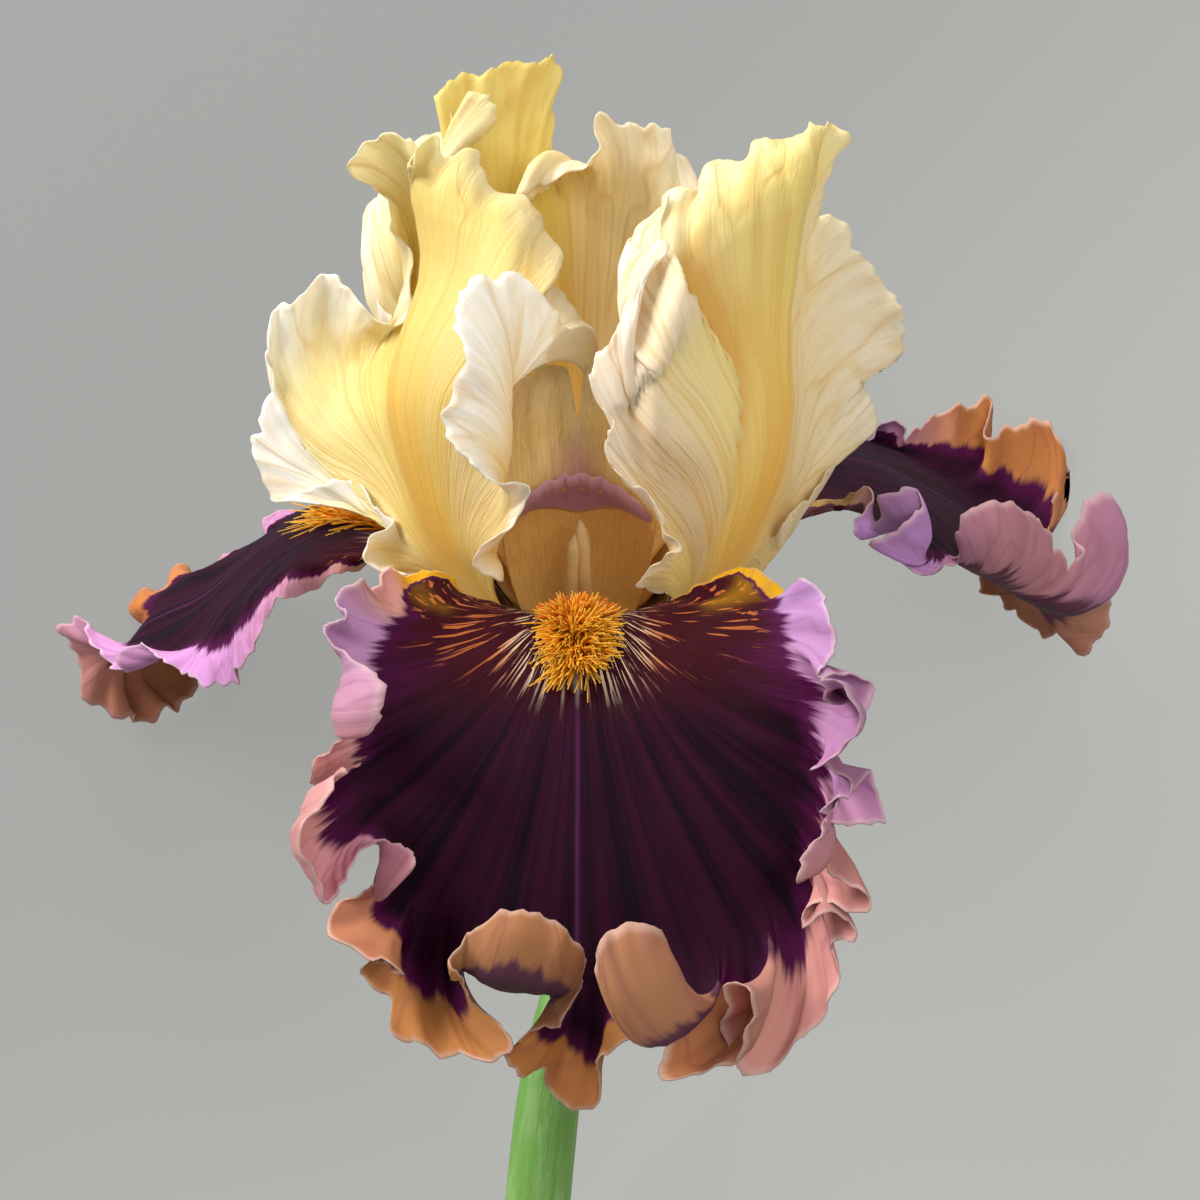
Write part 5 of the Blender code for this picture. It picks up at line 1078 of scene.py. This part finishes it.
WHITE = tints((-180, "fdfbf2"), (180, "fdfbf2"))
petal_piece("fall_front", FALL_FRONT, 720, 3, 0.7, velvet,
            tints((-150, "c89020"), (-121, "e6ac12"), (-115, "dc9c14"), (-111, "dc9a94"), (-106, "e2a494"), (-101, "c896c4"),
                  (-92, "cc98c2"), (-83, "dca0bc"), (-75, "e8a8a4"), (-60, "e6a49c"), (-50, "d894b4"),
                  (-40, "d08a6c"), (-34, "c07e48"), (-20, "c08448"), (0, "c07c42"), (15, "c88a54"), (32, "c8865a"),
                  (40, "d8988c"), (50, "d4928c"), (62, "d49084"), (70, "c088b4"), (90, "bc86b0"), (109, "b488bc"),
                  (113, "d8a418"), (121, "d89e14"), (150, "c89020")), WHITE,
            ((-150, 0.95), (-124, 0.93), (-115, 0.9), (-109, 0.76), (-100, 0.7), (-60, 0.76), (-40, 0.8), (-20, 0.86), (10, 0.84), (35, 0.78),
             (60, 0.76), (104, 0.76), (112, 0.86), (118, 0.92), (150, 0.95)), fall_marks(FALL_FRONT, 42))
petal_piece("fall_left", FALL_LEFT, 500, 13, 0.65, velvet,
            tints((-150, "d0b060"), (-70, "c88cb8"), (-38, "cf94bc"), (-20, "cf8850"), (-8, "c0743c"), (-2, "c87e48"),
                  (6, "e09890"), (14, "d094c8"), (50, "d094cc"), (100, "c88cac"), (150, "c8945a")), WHITE,
            ((-150, 0.9), (-60, 0.82), (-20, 0.8), (0, 0.8), (20, 0.8), (60, 0.82), (110, 0.84), (150, 0.9)),
            fall_marks(FALL_LEFT, 40))
petal_piece("fall_right", FALL_RIGHT, 500, 23, 0.65, velvet,
            tints((-150, "d0a850"), (-124, "d0a85a"), (-110, "c090cc"), (-80, "c08cc4"), (-60, "d4909c"), (-40, "d49098"),
                  (-26, "d090b4"), (-14, "c88c6c"), (0, "c07c48"), (14, "bd783f"), (36, "c07c44"), (50, "c892bc"),
                  (150, "c0905a")), WHITE,
            ((-150, 0.9), (-120, 0.82), (-60, 0.76), (-20, 0.8), (15, 0.84), (40, 0.84), (100, 0.86), (150, 0.9)),
            fall_marks(FALL_RIGHT, 44))
petal_piece("standard_left", STANDARD_LEFT, 540, 33, 0.65, silk,
            tints((-140, "ecd48a"), (-100, "f6e6a4"), (-60, "f8eaa8"), (-30, "f2de84"), (0, "ecd67c"), (30, "ecd48a"),
                  (55, "f4e2b4"), (90, "f2dc9c"), (140, "ecd48a")),
            tints((-140, "fffdf4"), (-60, "fffef8"), (-30, "fdf6d8"), (0, "f8eeb4"), (30, "f0dfb0"), (50, "fffdf2"),
                  (70, "fffef8"), (140, "fff8e4")),
            ((-140, 0.8), (0, 0.75), (140, 0.8)), standard_marks)
petal_piece("standard_right", STANDARD_RIGHT, 540, 43, 0.65, silk,
            tints((-140, "f0d890"), (-100, "f2dc98"), (-75, "f4e2bc"), (-55, "f2e0c0"), (-35, "f4e6a8"), (0, "f2de84"),
                  (25, "f2e2b0"), (50, "f0e0b8"), (100, "ecd08c"), (140, "ecd08a")),
            tints((-140, "fbf2d4"), (-75, "fbf0dc"), (-55, "fbeedc"), (-35, "f8f0cc"), (0, "f4e8a4"), (25, "f2e8cc"),
                  (60, "efe4cc"), (140, "f2e4b4")),
            ((-140, 0.8), (0, 0.75), (140, 0.8)), standard_marks, flap_fold)
petal_piece("standard_back", STANDARD_BACK, 540, 53, 0.65, silk,
            tints((-140, "f4dc96"), (-60, "f8e8b0"), (-25, "fbeec0"), (-2, "fbeab4"), (6, "f2dc74"), (20, "f2da70"),
                  (30, "f6e28c"), (60, "f8ecc0"), (140, "f4dc96")),
            tints((-140, "f4dc96"), (-60, "fbf2d8"), (-25, "fff8e4"), (-2, "fdf2d0"), (6, "f6e388"), (20, "f6e388"),
                  (30, "fbf0b8"), (60, "fffae8"), (140, "f4dc96")),
            ((-140, 0.8), (0, 0.75), (140, 0.8)), standard_marks)
beard("beard_front", FALL_FRONT, 12, 34, 3.6, 3.9, 1100, 71)
beard("beard_left", FALL_LEFT, 24, 46, 4.6, 4.2, 800, 72)
beard("beard_right", FALL_RIGHT, 31, 48, 4.2, 3.4, 600, 73)
for where, azimuth, wide in (("front", -90, 10.6), ("left", 150, 8.2), ("right", 30, 7.6)):
    style_arm("style_" + where, azimuth, wide)
    stamen("stamen_" + where, azimuth)
stalk_pieces()

# stage
floor_mesh = bpy.data.meshes.new("table")
half = 3.0
floor_mesh.from_pydata([(-half, -half, 0), (half, -half, 0), (half, half, 0), (-half, half, 0)], [], [(0, 1, 2, 3)])
floor = bpy.data.objects.new("table", floor_mesh)
bpy.context.scene.collection.objects.link(floor)
pale, net, body = material("table_painted_glow", 0.9)
# painted light: the table glows by its own emission instead of being lit by the lamps, so no cast shadow shows on it
body.inputs["Base Color"].default_value = (0.04, 0.04, 0.039, 1)
place = net.add("TexCoord", {}).node.outputs["Object"]
# painted light falloff: the glow is a darker grey towards one side and a lighter grey towards the other
across = net.add("VectorMath", {0: place, 1: (1.0, -0.9, 0)}, operation="DOT_PRODUCT").node.outputs["Value"]
net.put(body.inputs["Emission Color"], net.mix(net.step(across, -0.15, 0.13), "949492", "b1b1ad"))
body.inputs["Emission Strength"].default_value = 1.0
floor_mesh.materials.append(pale)

world = bpy.data.worlds.new("studio")
bpy.context.scene.world = world
world.use_nodes = True
world.node_tree.nodes["Background"].inputs[0].default_value = (1, 1, 1, 1)
world.node_tree.nodes["Background"].inputs[1].default_value = 0.5
bpy.context.scene.view_settings.view_transform = "Standard"


def softbox(name, way, far, size, watts):
    """An area light that far from the flower in this direction of the flower's upright frame, facing it."""
    light = bpy.data.lights.new(name, "AREA")
    light.shape, light.size, light.energy = "SQUARE", size, watts
    lamp = bpy.data.objects.new(name, light)
    bpy.context.scene.collection.objects.link(lamp)
    toward = Vector(LAY @ unit(np.array(way, float)))
    lamp.location = toward * far + Vector((0, 0, 0.04))
    lamp.rotation_euler = toward.to_track_quat("Z", "Y").to_euler()


softbox("key", (-0.8, -0.42, 0.62), 1.3, 0.6, 20)
softbox("fill", (0.45, -0.85, 0.35), 1.4, 0.9, 9)
softbox("top", (-0.2, 0.05, 1.0), 1.3, 0.6, 9)

eye = bpy.data.cameras.new("eye")
eye.sensor_width, eye.lens = 36, 36 * FAR / (1200 * STEP)
eye.clip_start, eye.clip_end = 0.05, 10
camera = bpy.data.objects.new("eye", eye)
bpy.context.scene.collection.objects.link(camera)
right, up, back = LAY @ (1, 0, 0), LAY @ (0, 0, 1), LAY @ (0, -1, 0)
turn = Matrix(np.column_stack([right, up, back]).tolist()).to_4x4()
camera.matrix_world = Matrix.Translation(placed(np.array((AXIS_X, -FAR, MIDDLE_Z)))) @ turn
bpy.context.scene.camera = camera
